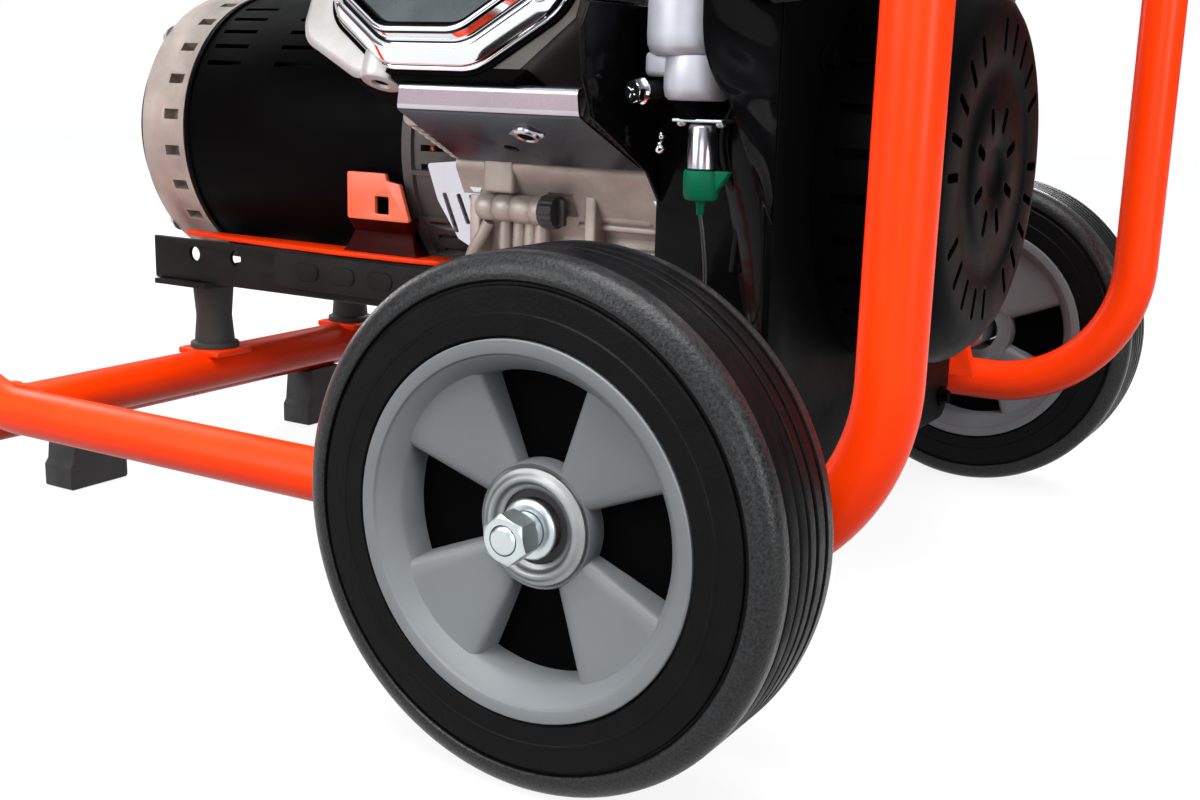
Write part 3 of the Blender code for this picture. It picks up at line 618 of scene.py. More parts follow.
def blade(centre_angle, place):
    """One vane of the hub: a wide spoke with round edges and walls that run to the other face."""
    steps, flat = 14, 8
    inner, outer = 24.0, 69.0
    rings = []
    for i in range(steps + 1):
        share = i / steps
        radius = inner + (outer - inner) * share
        half = math.radians(BLADE_ARC / 2) * radius
        top = -15.6 + 6.6 * share
        edge = min(3.2, half * 0.3)
        across = [(half - edge) * (2 * j / flat - 1) for j in range(flat + 1)]
        section = [(u, top + 0.9 * (1 - (u / half) ** 2)) for u in across]
        section += arc(half - edge, top - edge, edge, 75, 0, 5)
        section.append((half + 1.2, -WHEEL_W / 2))
        upper = [(-u, h) for u, h in section[flat + 1:][::-1]] + section
        full = upper + [(u, -WHEEL_W - h) for u, h in upper[::-1]]
        turns = [math.radians(centre_angle) + u / radius for u, h in full]
        rings.append([(radius * math.cos(turn), radius * math.sin(turn), h)
                      for turn, (u, h) in zip(turns, full)])
    return loft("blade", rings, place)


def wheel(label, side):
    place = at(AXLE.x, side * FACE_Y, AXLE.z, outward(side))
    body = label + "_wheel"
    tyre = lathe(label + "_tyre_solid", tyre_profile(), place, 160, mark=grained)
    piece(tyre, [TYRE_SIDE, TYRE_GRAIN], body, label + "_tyre", smooth=28)

    rim = mirrored([(LIP_R, -4.0), (LIP_R, -0.6), (LIP_R - 0.5, -0.1), (74.8, 0.0), (74.1, -0.3),
                    (73.5, -1.6), (72.9, -2.0), (72.2, -2.4), (66.9, -9.6), (66.2, -11.0),
                    (65.4, -18.0), (64.8, -WHEEL_W / 2 + 1)], WHEEL_W)
    ring = lathe(label + "_wheel_rim", rim, place, 144)
    piece(ring, GREY, body, label + "_wheel_hub", smooth=30)
    barrel = lathe(label + "_wheel_barrel", mirrored(
        [(15.9, -18.0), (15.9, -15.6), (25.0, -15.4), (26.6, -14.2), (27.2, -15.6),
         (27.6, -WHEEL_W / 2 + 1)], WHEEL_W), place, 72)
    piece(barrel, GREY, body)
    # Painted shade: a black disc between the hub's two faces, behind the blades, stands in for the dark
    # inside of the hub's openings; web is its depth from each face.
    web = 24.0
    back = lathe(label + "_wheel_painted_shade_disc", [(16.4, -web), (66.0, -web), (66.0, web - WHEEL_W),
                                        (16.4, web - WHEEL_W)], place, 96)
    piece(back, DEEP_BLACK, body)
    blades = group(label + "_wheel_blades", [blade(45 + 90 * i, place) for i in range(4)])
    piece(blades, GREY, body, smooth=50)

    cup = lathe(label + "_cup_washer", [
        (25.0, -WASHER_IN - 1.4), (25.0, -WASHER_IN - 0.3), (24.6, -WASHER_IN),
        (23.6, -WASHER_IN + 0.1), (22.6, -WASHER_IN + 0.9), (21.7, -WASHER_IN + 1.9),
        (20.6, -WASHER_IN + 2.3), (19.6, -WASHER_IN + 1.8), (18.9, -WASHER_IN + 0.6),
        (18.3, -WASHER_IN - 0.6), (17.5, -WASHER_IN - 1.0), (16.1, -WASHER_IN - 1.1),
        (15.8, -WASHER_IN - 1.6), (15.8, -WASHER_IN - 3.0), (24.0, -WASHER_IN - 2.4)], place, 96)
    seal = lathe(label + "_bearing_seal", [
        (15.7, -WASHER_IN - 2.2), (12.4, -WASHER_IN - 2.2), (12.2, -WASHER_IN - 4.0),
        (15.7, -WASHER_IN - 4.0)], place, 64)
    piece(cup, DULL_ZINC, body, label + "_wheel_bearing", smooth=60)
    piece(seal, RUBBER, body)

    sleeve = lathe(label + "_sleeve_tube", [
        (8.3, -8.5), (10.0, -8.5), (12.2, -8.8), (12.9, -9.6), (12.9, -10.8), (12.4, -11.6),
        (SLEEVE_R + 0.6, -12.0), (SLEEVE_R, -13.5), (SLEEVE_R, -WHEEL_W - 6), (8.3, -WHEEL_W - 6)],
        place, 64)
    piece(sleeve, ZINC, "frame", label + "_axle_sleeve", smooth=50)
    nut_low, nut_high = span(label + "_axle_nut")
    length = nut_high.y - nut_low.y
    near = min(abs(nut_low.y), abs(nut_high.y))
    nut_place = at(AXLE.x, side * near, AXLE.z, outward(side), side * 40.0)
    nut = hex_solid(label + "_hex_nut", nut_place, 19.0, length, 0.13, 6.5)
    piece(nut, ZINC, "frame", label + "_axle_nut", smooth=25)


def axle():
    end = span("axle")[1].y
    half = [(0, end - 0.25), (4.6, end - 0.2), (5.5, end - 0.5), (6.1, end - 1.3)]
    pitch = 1.5
    turns = 8
    for i in range(turns):
        base = end - 1.6 - i * pitch
        half += [(6.1, base), (5.5, base - pitch * 0.5)]
    half += [(6.1, end - 14.0), (8.0, end - 14.4)]
    bar = lathe("axle_bar", half + [(r, -h) for r, h in half[::-1]], at(AXLE.x, 0, AXLE.z, "Y"), 48,
                ring=False)
    piece(bar, ZINC, "frame", "axle", smooth=45)


# ---------------------------------------------------------------- tube frame

BEND_R = 92.0
TOP_BAR_R = 11.0
STAND_R = 12.5


def saddle_bead(name, x, z, radius, side):
    """The weld where a cross tube meets the hoop's tube."""
    points = []
    count = 72
    for i in range(count):
        turn = 2 * math.pi * i / count
        across = min(abs(radius * math.sin(turn)), TUBE_R * 0.97)
        y = HOOP_Y - math.sqrt(TUBE_R ** 2 - across ** 2)
        ripple = 0.35 * math.sin(i * 2.6)
        points.append((x + (radius + 0.9 + ripple) * math.cos(turn), side * (y - 0.6),
                       z + (radius + 0.9 + ripple) * math.sin(turn)))
    return sweep(name, points, 2.1, closed=True, sides=10)


def cross_tube(name, x, z, radius, node):
    tube = lathe(name, [(0, -HOOP_Y + 3), (radius, -HOOP_Y + 3), (radius, HOOP_Y - 3),
                        (0, HOOP_Y - 3)], at(x, 0, z, "Y"), 48, ring=False)
    beads = group(name + "_welds", [saddle_bead(name + "_bead", x, z, radius, s) for s in (-1, 1)])
    piece(beads, ORANGE)
    return piece(tube, ORANGE, "frame", node)


def hoop(label, side):
    reach = span(label + "_hoop")[1].x - TUBE_R
    outline = round_rect((-reach, reach), (RAIL_Z, TOP_Z), BEND_R, 24)
    path = [(u, side * HOOP_Y, v) for u, v in outline]
    tube = sweep(label + "_hoop_tube", path, TUBE_R, closed=True, sides=48)
    piece(tube, ORANGE, "frame", label + "_hoop")
    handle = centre(label + "_handle_grip")
    pivot_z = span(label + "_handle")[1].z - 16.0
    pin_place = at(handle.x, side * HOOP_Y, pivot_z, outward(side))
    tip = abs(span(label + "_hoop")[1 if side > 0 else 0].y) - HOOP_Y
    pin = rod(label + "_handle_pivot", pin_place, 5.9, tip, 0.8)
    boss = lathe(label + "_pivot_boss", [(9.5, TUBE_R - 3), (9.5, TUBE_R + 2), (8.5, TUBE_R + 3.6),
                                         (5.9, TUBE_R + 3.8), (5.9, TUBE_R - 3)], pin_place, 40)
    piece(pin, ZINC)
    piece(boss, ORANGE)


def stand():
    low, high = span("stand_bar")
    upright = high.y - STAND_R
    bottom = low.z + STAND_R
    bend = 38.0
    corner = arc(upright - bend, bottom + bend, bend, -90, 0, 16)
    half = corner + [(upright, high.z - 1.5)]
    line = [(-u, v) for u, v in half[::-1]] + half
    bar = sweep("stand_tube", [(POST_X, u, v) for u, v in line], STAND_R, sides=40)
    piece(bar, ORANGE, "frame", "stand_bar")
    caps, fixings = [], []
    for side in (-1, 1):
        caps.append(lathe("stand_cap", [(0, 0), (STAND_R - 1, 0), (STAND_R, -1.2), (STAND_R, -5),
                                        (0, -5)], at(POST_X, side * upright, high.z), 32, False))
        for z in (high.z - 24.0, high.z - 62.0):
            fixings.append(at(POST_X, side * (upright + STAND_R - 1.8), z, outward(side)))
    piece(group("stand_end_caps", caps), SMOOTH_PLASTIC)
    bolts("stand_clamp_bolts", fixings, across=8.0, head=1.6)
    for label in ("rear", "front"):
        foot_low, foot_high = span(label + "_foot")
        y = (foot_low.y, foot_high.y)
        x = (foot_low.x, foot_high.x)
        profile = [(y[0], 1.2), (y[0] + 1.2, 0), (y[1] - 1.2, 0), (y[1], 1.2), (y[1], 16),
                   (y[1] - 3, 20), (y[1] - 6, 46), (y[0] + 6, 46), (y[0] + 3, 20), (y[0], 16)]
        foot = prism(label + "_foot_block", fillet(profile, 2.0, 3), x[0], x[1], across_x(0))
        groove = rod("foot_groove", at(POST_X, y[0] - 5, bottom, "Y"), STAND_R + 0.2, 60, 0.1, 48)
        cut(foot, groove)
        rounded(foot, 1.0, 2)
        piece(foot, RUBBER, "frame", label + "_foot")


def axle_ears():
    """Plates on the wheel end cross member that carry the axle."""
    plates = []
    for side in (-1, 1):
        low = RAIL_Z + 6.0
        outline = [(AXLE.x - 23, low), (WHEEL_BAR_X + 8, low), (WHEEL_BAR_X + 10, RAIL_Z + 14)]
        outline += arc(AXLE.x, AXLE.z, 17.0, 10, 178, 20)
        plate = prism("axle_ear", outline, -4, 4, across_y(side * 212.0))
        bore = rod("ear_bore", at(AXLE.x, side * 212.0 - 10, AXLE.z, "Y"), 8.2, 20, 0.1)
        plates.append(rounded(cut(plate, bore), 0.6, 2))
    piece(group("axle_ears", plates), ORANGE)


def tubes():
    hoop("rear", 1)
    hoop("front", -1)
    cross_tube("wheel_end_tube", WHEEL_BAR_X, RAIL_Z, TUBE_R, "wheel_end_cross_member")
    cross_tube("alternator_end_tube", FAR_BAR_X, RAIL_Z, TUBE_R, "alternator_end_cross_member")
    for end in ("wheel_end", "alternator_end"):
        node = "tank_bar_" + end
        cross_tube(node + "_tube", centre(node).x, TOP_Z, TOP_BAR_R, node)
    axle_ears()
    stand()
    axle()


# ---------------------------------------------------------------- mounts of engine and alternator


def isolators():
    low = RAIL_Z + TUBE_R
    for kind in ("alternator", "engine"):
        for label in ("rear", "front"):
            node = f"isolator_{kind}_{label}"
            bottom, top = span(node)
            spot = centre(node)
            tall = top.z - bottom.z
            rubber = lathe(node + "_rubber", [
                (0, tall - 0.3), (13.2, tall - 0.3), (14.0, tall - 1.2), (13.8, tall - 3),
                (12.2, tall * 0.5), (13.8, 5.0), (16.4, 4.0), (16.8, 3.2), (16.8, 0.6), (0, 0.6)],
                at(spot.x, spot.y, bottom.z), 48, ring=False)
            piece(rubber, RUBBER, "frame", node, smooth=50)
            strip = block(node + "_tab", (spot.x - 19, spot.x + 19), (spot.y - 17, spot.y + 17),
                          (low - 4.0, low + 0.6), 1.5)
            piece(strip, ORANGE)
            bolts(node + "_nut", [at(spot.x, spot.y, low - 4.4, "-Z")], across=13.0, washer=9.0)


def cradle():
    """Tray under the engine, riser and channel under the alternator, with windows and side holes."""
    low, high = span("cradle")
    tray_z = 124.0
    beam_z = 150.0
    wall = 3.0
    half = 97.0
    lip = high.z
    tray = prism("engine_tray", round_rect((low.x, 5), (low.y, high.y), 6), tray_z + 0.6, tray_z + 4)
    path = [(-half, lip), (-half, beam_z), (half, beam_z), (half, lip), (half - wall, lip),
            (half - wall, beam_z + wall), (wall - half, beam_z + wall), (wall - half, lip)]
    beam = prism("alternator_channel", fillet(path, 2.4, 4), 2, 266, across_x(0))
    riser = block("riser", (1, 4.4), (-94, 94), (tray_z + 1, beam_z + 3), 0)
    foot = block("foot", (214, 262), (low.y, high.y), (beam_z - 2.8, beam_z + 0.6), 0)
    windows = [prism("window", round_rect((x, x + 44), (-60, 60), 9), beam_z - 5, beam_z + 8)
               for x in (40, 110, 180)]
    windows += [prism("tray_slot", round_rect((x, x + 16), (-52, 52), 8), tray_z - 5, tray_z + 8)
                for x in (-140, -90, -40)]
    for side in (-1, 1):
        for x in (150, 190, 228):
            windows.append(rod("side_hole", at(x, side * 90, lip - 10, outward(side)), 5.0, 14, 0.1, 28))
    weld(tray, riser, beam, foot)
    cut(tray, *windows)
    piece(rounded(tray, 0.5, 2), DARK, "frame", "cradle")


def bracket():
    """Orange angle under the alternator; its upright steps inwards above a curved flange."""
    low, high = span("alternator_bracket")
    base, outer = low.z, high.y
    near = [(high.x, 84), (high.x - 50, 92), (150, 96), (128, 97.6), (105, outer), (60, outer),
            (40, outer - 0.5), (low.x + 4, outer - 3), (low.x, outer - 9)]
    plate = prism("bracket_base", fillet([(low.x, low.y), (high.x, low.y)] + near, 3.0, 5), base,
                  base + 3.0)
    # The neck takes painted shade: dark orange where the bracket lies in shadow.
    neck = loft("bracket_neck", [
        [(38, 79, base + 1), (100, 79, base + 1), (100, 95, base + 1), (38, 95, base + 1)],
        [(45, 84, base + 8), (97, 84, base + 8), (97, 90, base + 8), (45, 90, base + 8)],
        [(47, 86, base + 16), (93, 86, base + 16), (93, 89, base + 16), (47, 89, base + 16)],
        [(44, 87, 204.5), (90, 87, 204.5), (90, 99.3, 204.5), (44, 99.3, 204.5)],
        [(43, 87, 206.5), (90, 87, 206.5), (90, 99.3, 206.5), (43, 99.3, 206.5)]])
    # The web takes a painted highlight in pale orange.
    web_line = [(41.0, 204.6), (90, 204.6), (90, 233.5), (60, 233.5), (58.6, 229), (48.6, 227.4)]
    web = prism("bracket_web", fillet(web_line, 1.6, 4), 0, 3.0, across_y(outer))
    hole = prism("bracket_hole", round_rect((57.3, 68.0), (208.6, 219.4), 1.0, 3), -5, 10,
                 across_y(outer))
    cut(web, hole)
    piece(rounded(plate, 0.7, 2), ORANGE, "frame", "alternator_bracket")
    piece(rounded(web, 0.6, 2), HIGHLIGHT_ORANGE)
    piece(rounded(neck, 0.8, 2), SHADED_ORANGE)


def pressed_skirt():
    """Dark sheet below the bracket with a row of round dents."""
    place = across_y(102.6)
    skirt = prism("pressed_skirt", round_rect((14, 150), (156, 178.5), 6, 6), 0, 2.0, place)
    dents = []
    for x in (34, 62, 92, 122):
        dent = prism("dent", round_rect((x - 10, x + 10), (162, 173), 5, 6), -1.2, 1.0, place)
        dents.append(rounded(dent, 1.0, 3))
    piece(group("pressed_skirt_sheet", [rounded(skirt, 0.6, 2)] + dents), DARK)


# ---------------------------------------------------------------- engine

LEAN_OUT = Vector((0, math.cos(LEAN), math.sin(LEAN)))
LEAN_UP = Vector((0, -math.sin(LEAN), math.cos(LEAN)))


def leaning(along, across=0.0, offset=0.0):
    """Place on the cylinder: X along the crank, Y up the head and Z outwards."""
    spot = Vector((CYL_X + offset, 0, CRANK_Z)) + LEAN_OUT * along + LEAN_UP * across
    turn = Matrix((Vector((1, 0, 0)), LEAN_UP, LEAN_OUT)).transposed().to_4x4()
    return Matrix.Translation(spot) @ turn


def inset(polygon, depth):
    """A convex outline moved inwards."""
    points = [Vector(p) for p in polygon]
    middle = sum(points, Vector((0, 0))) / len(points)
    lines = []
    for i, a in enumerate(points):
        b = points[(i + 1) % len(points)]
        normal = Vector((a.y - b.y, b.x - a.x)).normalized()
        if normal.dot(middle - a) < 0:
            normal.negate()
        lines.append((a + normal * depth, (b - a).normalized()))
    result = []
    for i, (b, along) in enumerate(lines):
        a, before = lines[i - 1]
        cross = before.x * along.y - before.y * along.x
        gap = b - a
        share = (gap.x * along.y - gap.y * along.x) / cross
        result.append(a + before * share)
    return result


def rocker_cover():
    low = 200.0
    corners = [(-28, -43), (30, -43), (77, -12), (77, 48), (50, 70), (-50, 70), (-72, 48), (-72, -8)]
    steps = [(0.4, 0.0), (0.0, 0.5), (0.0, 1.5), (0.6, 2.1), (1.6, 2.3), (1.8, 3.0), (1.3, 3.4),
             (1.4, 4.3), (2.1, 5.5), (6.2, 10.6), (7.2, 11.5), (8.4, 11.8), (9.6, 11.7),
             (10.3, 11.1), (10.9, 11.5), (11.5, 12.8), (12.1, 17.0), (12.8, 18.4), (13.9, 19.2),
             (15.0, 19.1), (16.0, 18.3), (17.3, 16.6), (18.3, 16.0), (20.0, 15.8)]
    rings = []
    for depth, height in steps:
        outline = fillet(inset(corners, depth), max(27.0 - depth * 0.4, 16.0), 10)
        rings.append([(p[0], p[1], height) for p in outline])
    cover = loft("rocker_cover_pressing", rings, leaning(low))
    # Painted shade: these bands of the pressing take the dark chrome.
    dark_bands = (5, 6, 12, 13, 16, 19, 20, 21, 22)
    end_faces = 2
    for face in cover.data.polygons:
        if face.index >= end_faces and (face.index - end_faces) // len(rings[0]) in dark_bands:
            face.material_index = 1
    piece(cover, [CHROME, DARK_CHROME], "frame", "rocker_cover", smooth=50)
    field = fillet(inset(corners, 19.0), 14.0, 10)
    piece(prism("rocker_cover_field", field, 15.6, 16.1, leaning(low)), FIELD, smooth=50)
    seal = prism("rocker_cover_gasket", fillet(inset(corners, -2.2), 27, 8), -2.4, 0.3,
                 leaning(low))
    piece(seal, DEEP_BLACK)
    spots = [leaning(low + 11.5, v, u) for u, v in ((-62, -6), (64, -6), (-60, 52), (62, 52))]
    bolts("rocker_cover_bolts", spots, across=7.0, head=4.5, flange=5.2)


def cylinder():
    fin = [(-58, -50), (-58, 50), (58, 50), (58, -50)]
    bar = prism("barrel_core", fillet([(-47, -45), (-47, 45), (47, 45), (47, -45)], 8, 4), 96, 150,
                leaning(0))
    fins = []
    for i in range(8):
        start = 98.5 + i * 6.4
        fins.append(rounded(prism("barrel_fin", fillet(fin, 7, 5), start, start + 1.9, leaning(0)),
                            0.4, 1))
    piece(bar, CAST, "frame", "cylinder_barrel")
    piece(group("barrel_fins", fins), CAST)


def cylinder_head():
    """Cast head with painted shade: black and dark faces, a black strip along its lower edge and a dark
    corner plate; also a drilled boss and fins.
    """
    outline = [(-78, -14), (-50, -45), (54, -46), (99, -24), (101, 45), (70, 73), (-56, 73), (-78, 50)]
    low, high = 150.3, 198.3
    rings = []
    for depth, along in ((3.0, low), (0.5, low + 4), (0.0, low + 12), (0.0, high - 9),
                         (0.6, high - 4), (2.6, high - 0.8), (5.0, high)):
        line = fillet(inset(outline, depth), 15.0, 8)
        rings.append([(p[0], p[1], along) for p in line])
    body = loft("cylinder_head_casting", rings, leaning(0))
    piece(body, [CAST_PALE, DEEP_BLACK, CAST_SHADE], "frame", "cylinder_head", smooth=45)
    # Painted shade: faces that look steeply down, except towards the starter end, and faces that look
    # towards the starter are made black; other faces towards the starter end that do not look up take the
    # dark shaded casting.
    for face in body.data.polygons:
        x = face.center.x / MM - CYL_X
        if face.normal.z < -0.75 and x > -52 or face.normal.x < -0.9:
            face.material_index = 1
        elif x < -40 and face.normal.z < 0.3:
            face.material_index = 2
    # Painted shade: a black strip along the head's lower edge.
    strip = prism("head_painted_shade_strip", [(-50, -47.2), (26, -47.2), (26, -40), (-57, -40)], 172,
                  199.6, leaning(0))
    piece(rounded(strip, 0.8, 2), DEEP_BLACK)
    # Painted shade: a thin plate of dark casting over the head's front corner.
    corner = prism("head_corner_painted_shade", [(-76, -12.4), (-49.6, -42.4), (-10, -43.6), (-50, 4), (-76, 4)],
                   high + 0.05, high + 0.4, leaning(0))
    piece(corner, CAST_SHADE)
    extras = []
    boss_place = down_place(192, -47.4, 37.5)
    boss = lathe("head_boss", [(0, -26), (12.6, -26), (11.6, -2.4), (10.4, -0.4), (8.8, 0), (5.2, 0),
                               (4.4, -0.9), (4.2, -9), (0, -9)], boss_place, 48, ring=False)
    extras.append(boss)
    shade = rod("head_boss_shade", lifted(boss_place, -5), 4.25, 2.5, 0.1, 32)
    piece(shade, DEEP_BLACK)
    for i in range(4):
        across = 8 + i * 10
        plate = fillet([(98, across), (108, across + 1), (108, across + 3.2), (98, across + 4)], 1.0, 2)
        extras.append(prism("head_fin", plate, low + 3, high - 8, leaning(0)))
    for i in range(9):
        u = -56 + i * 14
        plate = fillet([(u, 68), (u + 3.4, 68), (u + 2.4, 82), (u + 0.8, 82)], 0.7, 2)
        extras.append(prism("head_top_fin", plate, low + 3, high - 10, leaning(0)))
    piece(group("cylinder_head_details", extras), CAST_PALE, smooth=45)


def down_place(along, across, offset):
    """Like leaning, with its own Z pointing down the head."""
    return turned(leaning(along, across, offset), 90, "X")


def shroud_plate():
    """Bent zinc sheet under the head, with a rolled lip, a flanged nut and a drain hole."""
    lip_top, fold, inner = Vector((199.4, 288.6)), Vector((197.6, 276.6)), Vector((139.4, 249.0))
    line = fillet([Vector((194.6, 289.6)), lip_top, fold, inner], 4.6, 8, closed=False)
    columns = 24
    rows = []
    for y, z in line:
        down = min(max((lip_top.y - z) / (lip_top.y - fold.y), 0.0), 1.0)
        back = max((fold.x - y) / (fold.x - inner.x), 0.0)
        right = -140.0 - 3.0 * back
        left = -32.5 + 3.0 * down + 3.5 * back
        rows.append([(right + (left - right) * j / columns, y, z) for j in range(columns + 1)])
    plate = sheet("shroud_plate_sheet", rows, 1.3)
    slope = Vector((0, fold.x - inner.x, fold.y - inner.y)).normalized()
    proud = Vector((0, slope.z, -slope.y))
    turn = proud.to_track_quat("Z", "X").to_matrix().to_4x4()

    def on_plate(x, y):
        z = inner.y + (y - inner.x) * slope.z / slope.y
        return Matrix.Translation(Vector((x, y, z)) + proud * 0.6) @ turn

    drain = on_plate(-73.7, 157.5)
    cut(plate, rod("plate_hole", lifted(drain, -4), 4.3, 8, 0.1, 24))
    piece(plate, [SHEET_ZINC, SHADED_ZINC_SHEET, ROSE_REFLECTION_SHEET], "frame", "lower_shroud_plate", smooth=60)
    for face in plate.data.polygons:
        # Faces that look down take painted shade.
        if face.normal.z < -0.55:
            face.material_index = 1
        # Upright faces of the lip take a rose painted reflection.
        elif abs(face.normal.z) < 0.2:
            face.material_index = 2
    piece(rod("plate_hole_shade", lifted(drain, -2.1), 5.4, 0.8, 0.1, 24), DEEP_BLACK)
    spot = on_plate(-96.7, 177.2)
    base = prism("plate_nut_base", fillet([(0, -11.5), (6.4, -4), (6.4, 4), (0, 11.5), (-6.4, 4),
                                           (-6.4, -4)], 1.6, 3), 0, 1.2, spot)
    collar = lathe("plate_nut_collar", [(4.5, 0.5), (7.4, 0.5), (7.2, 1.6), (6.4, 2.6), (5.2, 2.7),
                                        (4.5, 2.1)], spot, 40)
    piece(group("shroud_plate_nut", [rounded(base, 0.4, 2), collar]), SHEET_ZINC, smooth=40)
    piece(rod("plate_nut_shade", spot, 4.55, 1.7, 0.1, 32), DEEP_BLACK)


def crankcase():
    low, high = span("crankcase")
    bottom = low.z
    outline = [(-98, bottom), (98, bottom), (98, 140), (88, 150), (88, 205), (108.7, 243.0),
               (64.7, 337.4), (20, 338), (-40, 338), (-86, 300), (-90, 150), (-98, 140)]
    case = prism("crankcase_casting", fillet(outline, 7.0, 5), low.x, high.x, across_x(0))
    bore = rod("case_bore", at(low.x - 5, 0, CRANK_Z, "X"), 12.9, 160, 0.1)
    chamber = rod("case_chamber", at(-92, 0, CRANK_Z, "X"), 62, 72, 0.1)
    relief = rod("cap_relief", at(-77, *FILLER_YZ, "X"), 11, 16.9, 0.1)
    cut(case, bore, chamber, relief)
    piece(rounded(case, 2.0, 3), CAST, "frame", "crankcase", smooth=45)

    ribs = []
    face = 88.0
    for low_z, high_z, right, left, proud in (
            (236, 246, -140, -48, 14), (226, 231, -140, -84, 10), (196, 201, -140, -90, 9),
            (210, 214, -140, -76, 6), (176, 181, -140, -86, 8), (158, 163, -140, -6, 9)):
        ribs.append(block("case_rib", (right, left), (face - 4, face + proud), (low_z, high_z), 1.3))
    for right, left, low_z, high_z, proud in ((-92, -84, 150, 246, 13), (-141, -128, 150, 240, 8),
                                              (-12, -4, 150, 226, 12), (-30, -25, 160, 205, 9)):
        ribs.append(block("case_upright", (right, left), (face - 4, face + proud), (low_z, high_z), 1.8))
    ribs.append(block("case_step", (-126, -88), (face - 2, face + 7), (214, 236), 3.0))
    ribs.append(block("case_pad", (-41, -19.5), (84, 108.5), (228, 248), 2.2))
    ribs.append(block("sump_flange", (low.x, high.x), (-100, 100), (bottom, bottom + 7), 2.0))
    for y in (-1, 1):
        ribs.append(block("sump_foot", (-140, -4), (min(y * 92, y * 99), max(y * 92, y * 99)),
                          (bottom, bottom + 16), 2.0))
    knuckles = [(0, 0), (6.0, 0), (7.4, 1.4), (7.9, 5), (7.6, 11), (6.6, 12.2), (7.6, 13.4),
                (8.0, 18), (7.7, 23), (6.8, 24.4), (7.7, 25.6), (8.1, 30), (7.9, 36), (7.1, 37.6),
                (8.2, 38.8), (8.2, 44.0), (0, 44.0)]
    ribs.append(lathe("filler_boss", knuckles, at(-16, *FILLER_YZ, "-X"), 48, ring=False))
    ribs.append(block("boss_web", (-58, -18), (86, 101), (214, 225), 1.5))
    for x in (-29.5, -39.5, -47.5, -54.5):
        tooth = lathe("boss_tooth", [(0, 0), (4.2, 0.4), (4.6, 4), (4.2, 17), (0, 18)],
                      at(x, 98, 195, "Z"), 24, ring=False)
        ribs.append(tooth)
    ribs.append(sweep("case_strut", [(-21.5, 104, 211), (-16, 104, 202), (-9.5, 103, 193),
                                     (-4, 100, 184)], 3.6, sides=20))
    piece(group("crankcase_details", ribs), CAST, smooth=45)

    fixings = []
    for x, z in ((-133, 151), (-10, 151), (-133, 232), (-10, 232)):
        fixings += bolt(at(x, 96, z, "Y"), 10, 5.5, flange=8)
    drain_plug = bolt(at(-22, 96, 140, "Y"), 17, 7, washer=12)
    piece(group("crankcase_bolts", fixings + drain_plug), ZINC, smooth=25)


def filler_cap():
    low, high = span("oil_filler_cap")
    disc = prism("filler_cap_disc", knurled(9.2, 0.3, 16, 96), 0.1, 9.9, at(high.x, *FILLER_YZ, "-X"))
    grip = block("filler_cap_grip", (low.x + 0.2, low.x + 7), (FILLER_YZ[0] - 1.8, FILLER_YZ[0] + 1.8),
                 (FILLER_YZ[1] - 7.6, FILLER_YZ[1] + 7.6), 1.2)
    cap = group("filler_cap_moulding", [rounded(disc, 0.5, 2, 50), grip])
    piece(cap, PLASTIC, "oil_filler_cap", "oil_filler_cap")


def plug_and_lead():
    place = leaning(200.2, 60, 79)
    cap = lathe("plug_cap_boot", [(0, 0), (9.6, 0), (10, 2), (9.2, 4), (9.6, 8), (9.0, 10), (9.4, 24),
                                  (8.4, 30), (8.2, 38), (6.5, 41), (0, 42)], place, 40, ring=False)
    piece(cap, RUBBER, "frame", "spark_plug_cap", smooth=50)
    elbow = place @ Vector((0, 0, 36))
    route = [tuple(elbow), tuple(elbow + Vector((-8, 6, 6))), (-10, 205, 425), (-70, 175, 432),
             (-130, 120, 436), (-165, 60, 420), (-176, 40, 360), (-182, 60, 352)]
    hose("spark_lead", route, 3.4, RUBBER, 16)


PANEL_X = -222.4                                # outer face of the end panel


def blower():
    """Pressed shroud round the flywheel."""
    flank = 128.0
    outline = [(flank, 170), (flank, 336)] + arc(0, CRANK_Z, 126, 50, 232, 40)
    outline += [(-60, 138), (70, 138)]
    back, front = -144.6, -220.2
    rings = []
    base = [Vector(p) for p in outline]
    hub = Vector((0, CRANK_Z))
    for shrink, x in ((0.93, front), (0.965, front + 3), (0.99, front + 9), (1.0, front + 18),
                      (1.0, back - 10), (0.995, back - 2), (0.99, back)):
        ring = [hub + (p - hub) * shrink for p in base]
        rings.append([(x, p.x, p.y) for p in ring])
    shell = loft("blower_shroud", rings)
    hollow = rod("fan_space", at(front + 4, 0, CRANK_Z, "X"), 105, 90, 0.1, 72)
    intake = rod("fan_intake", at(front - 5, 0, CRANK_Z, "X"), 70, 20, 0.1, 72)
    cut(shell, hollow, intake)
    piece(shell, BLACK, "frame", "blower_housing", smooth=50)


def side_baffle():
    """Sheet beside the cylinder with a rolled edge."""
    baffle = [(207, 318), (205.5, 296.5), (198.5, 283), (197.5, 277.5), (141, 249), (128, 234),
              (92, 214), (84, 214), (84, 330), (200, 330)]
    plate = prism("side_baffle", fillet(baffle, 4.0, 5), -146.2, -144.4, across_x(0))
    rim = sweep("side_baffle_rim", [(-146.6, p[0], p[1]) for p in
                fillet([Vector(v) for v in baffle[:7]], 5.0, 6, closed=False)], 1.5, sides=12)
    piece(group("side_baffle_sheet", [rounded(plate, 0.6, 2), rim]), BLACK, smooth=50)


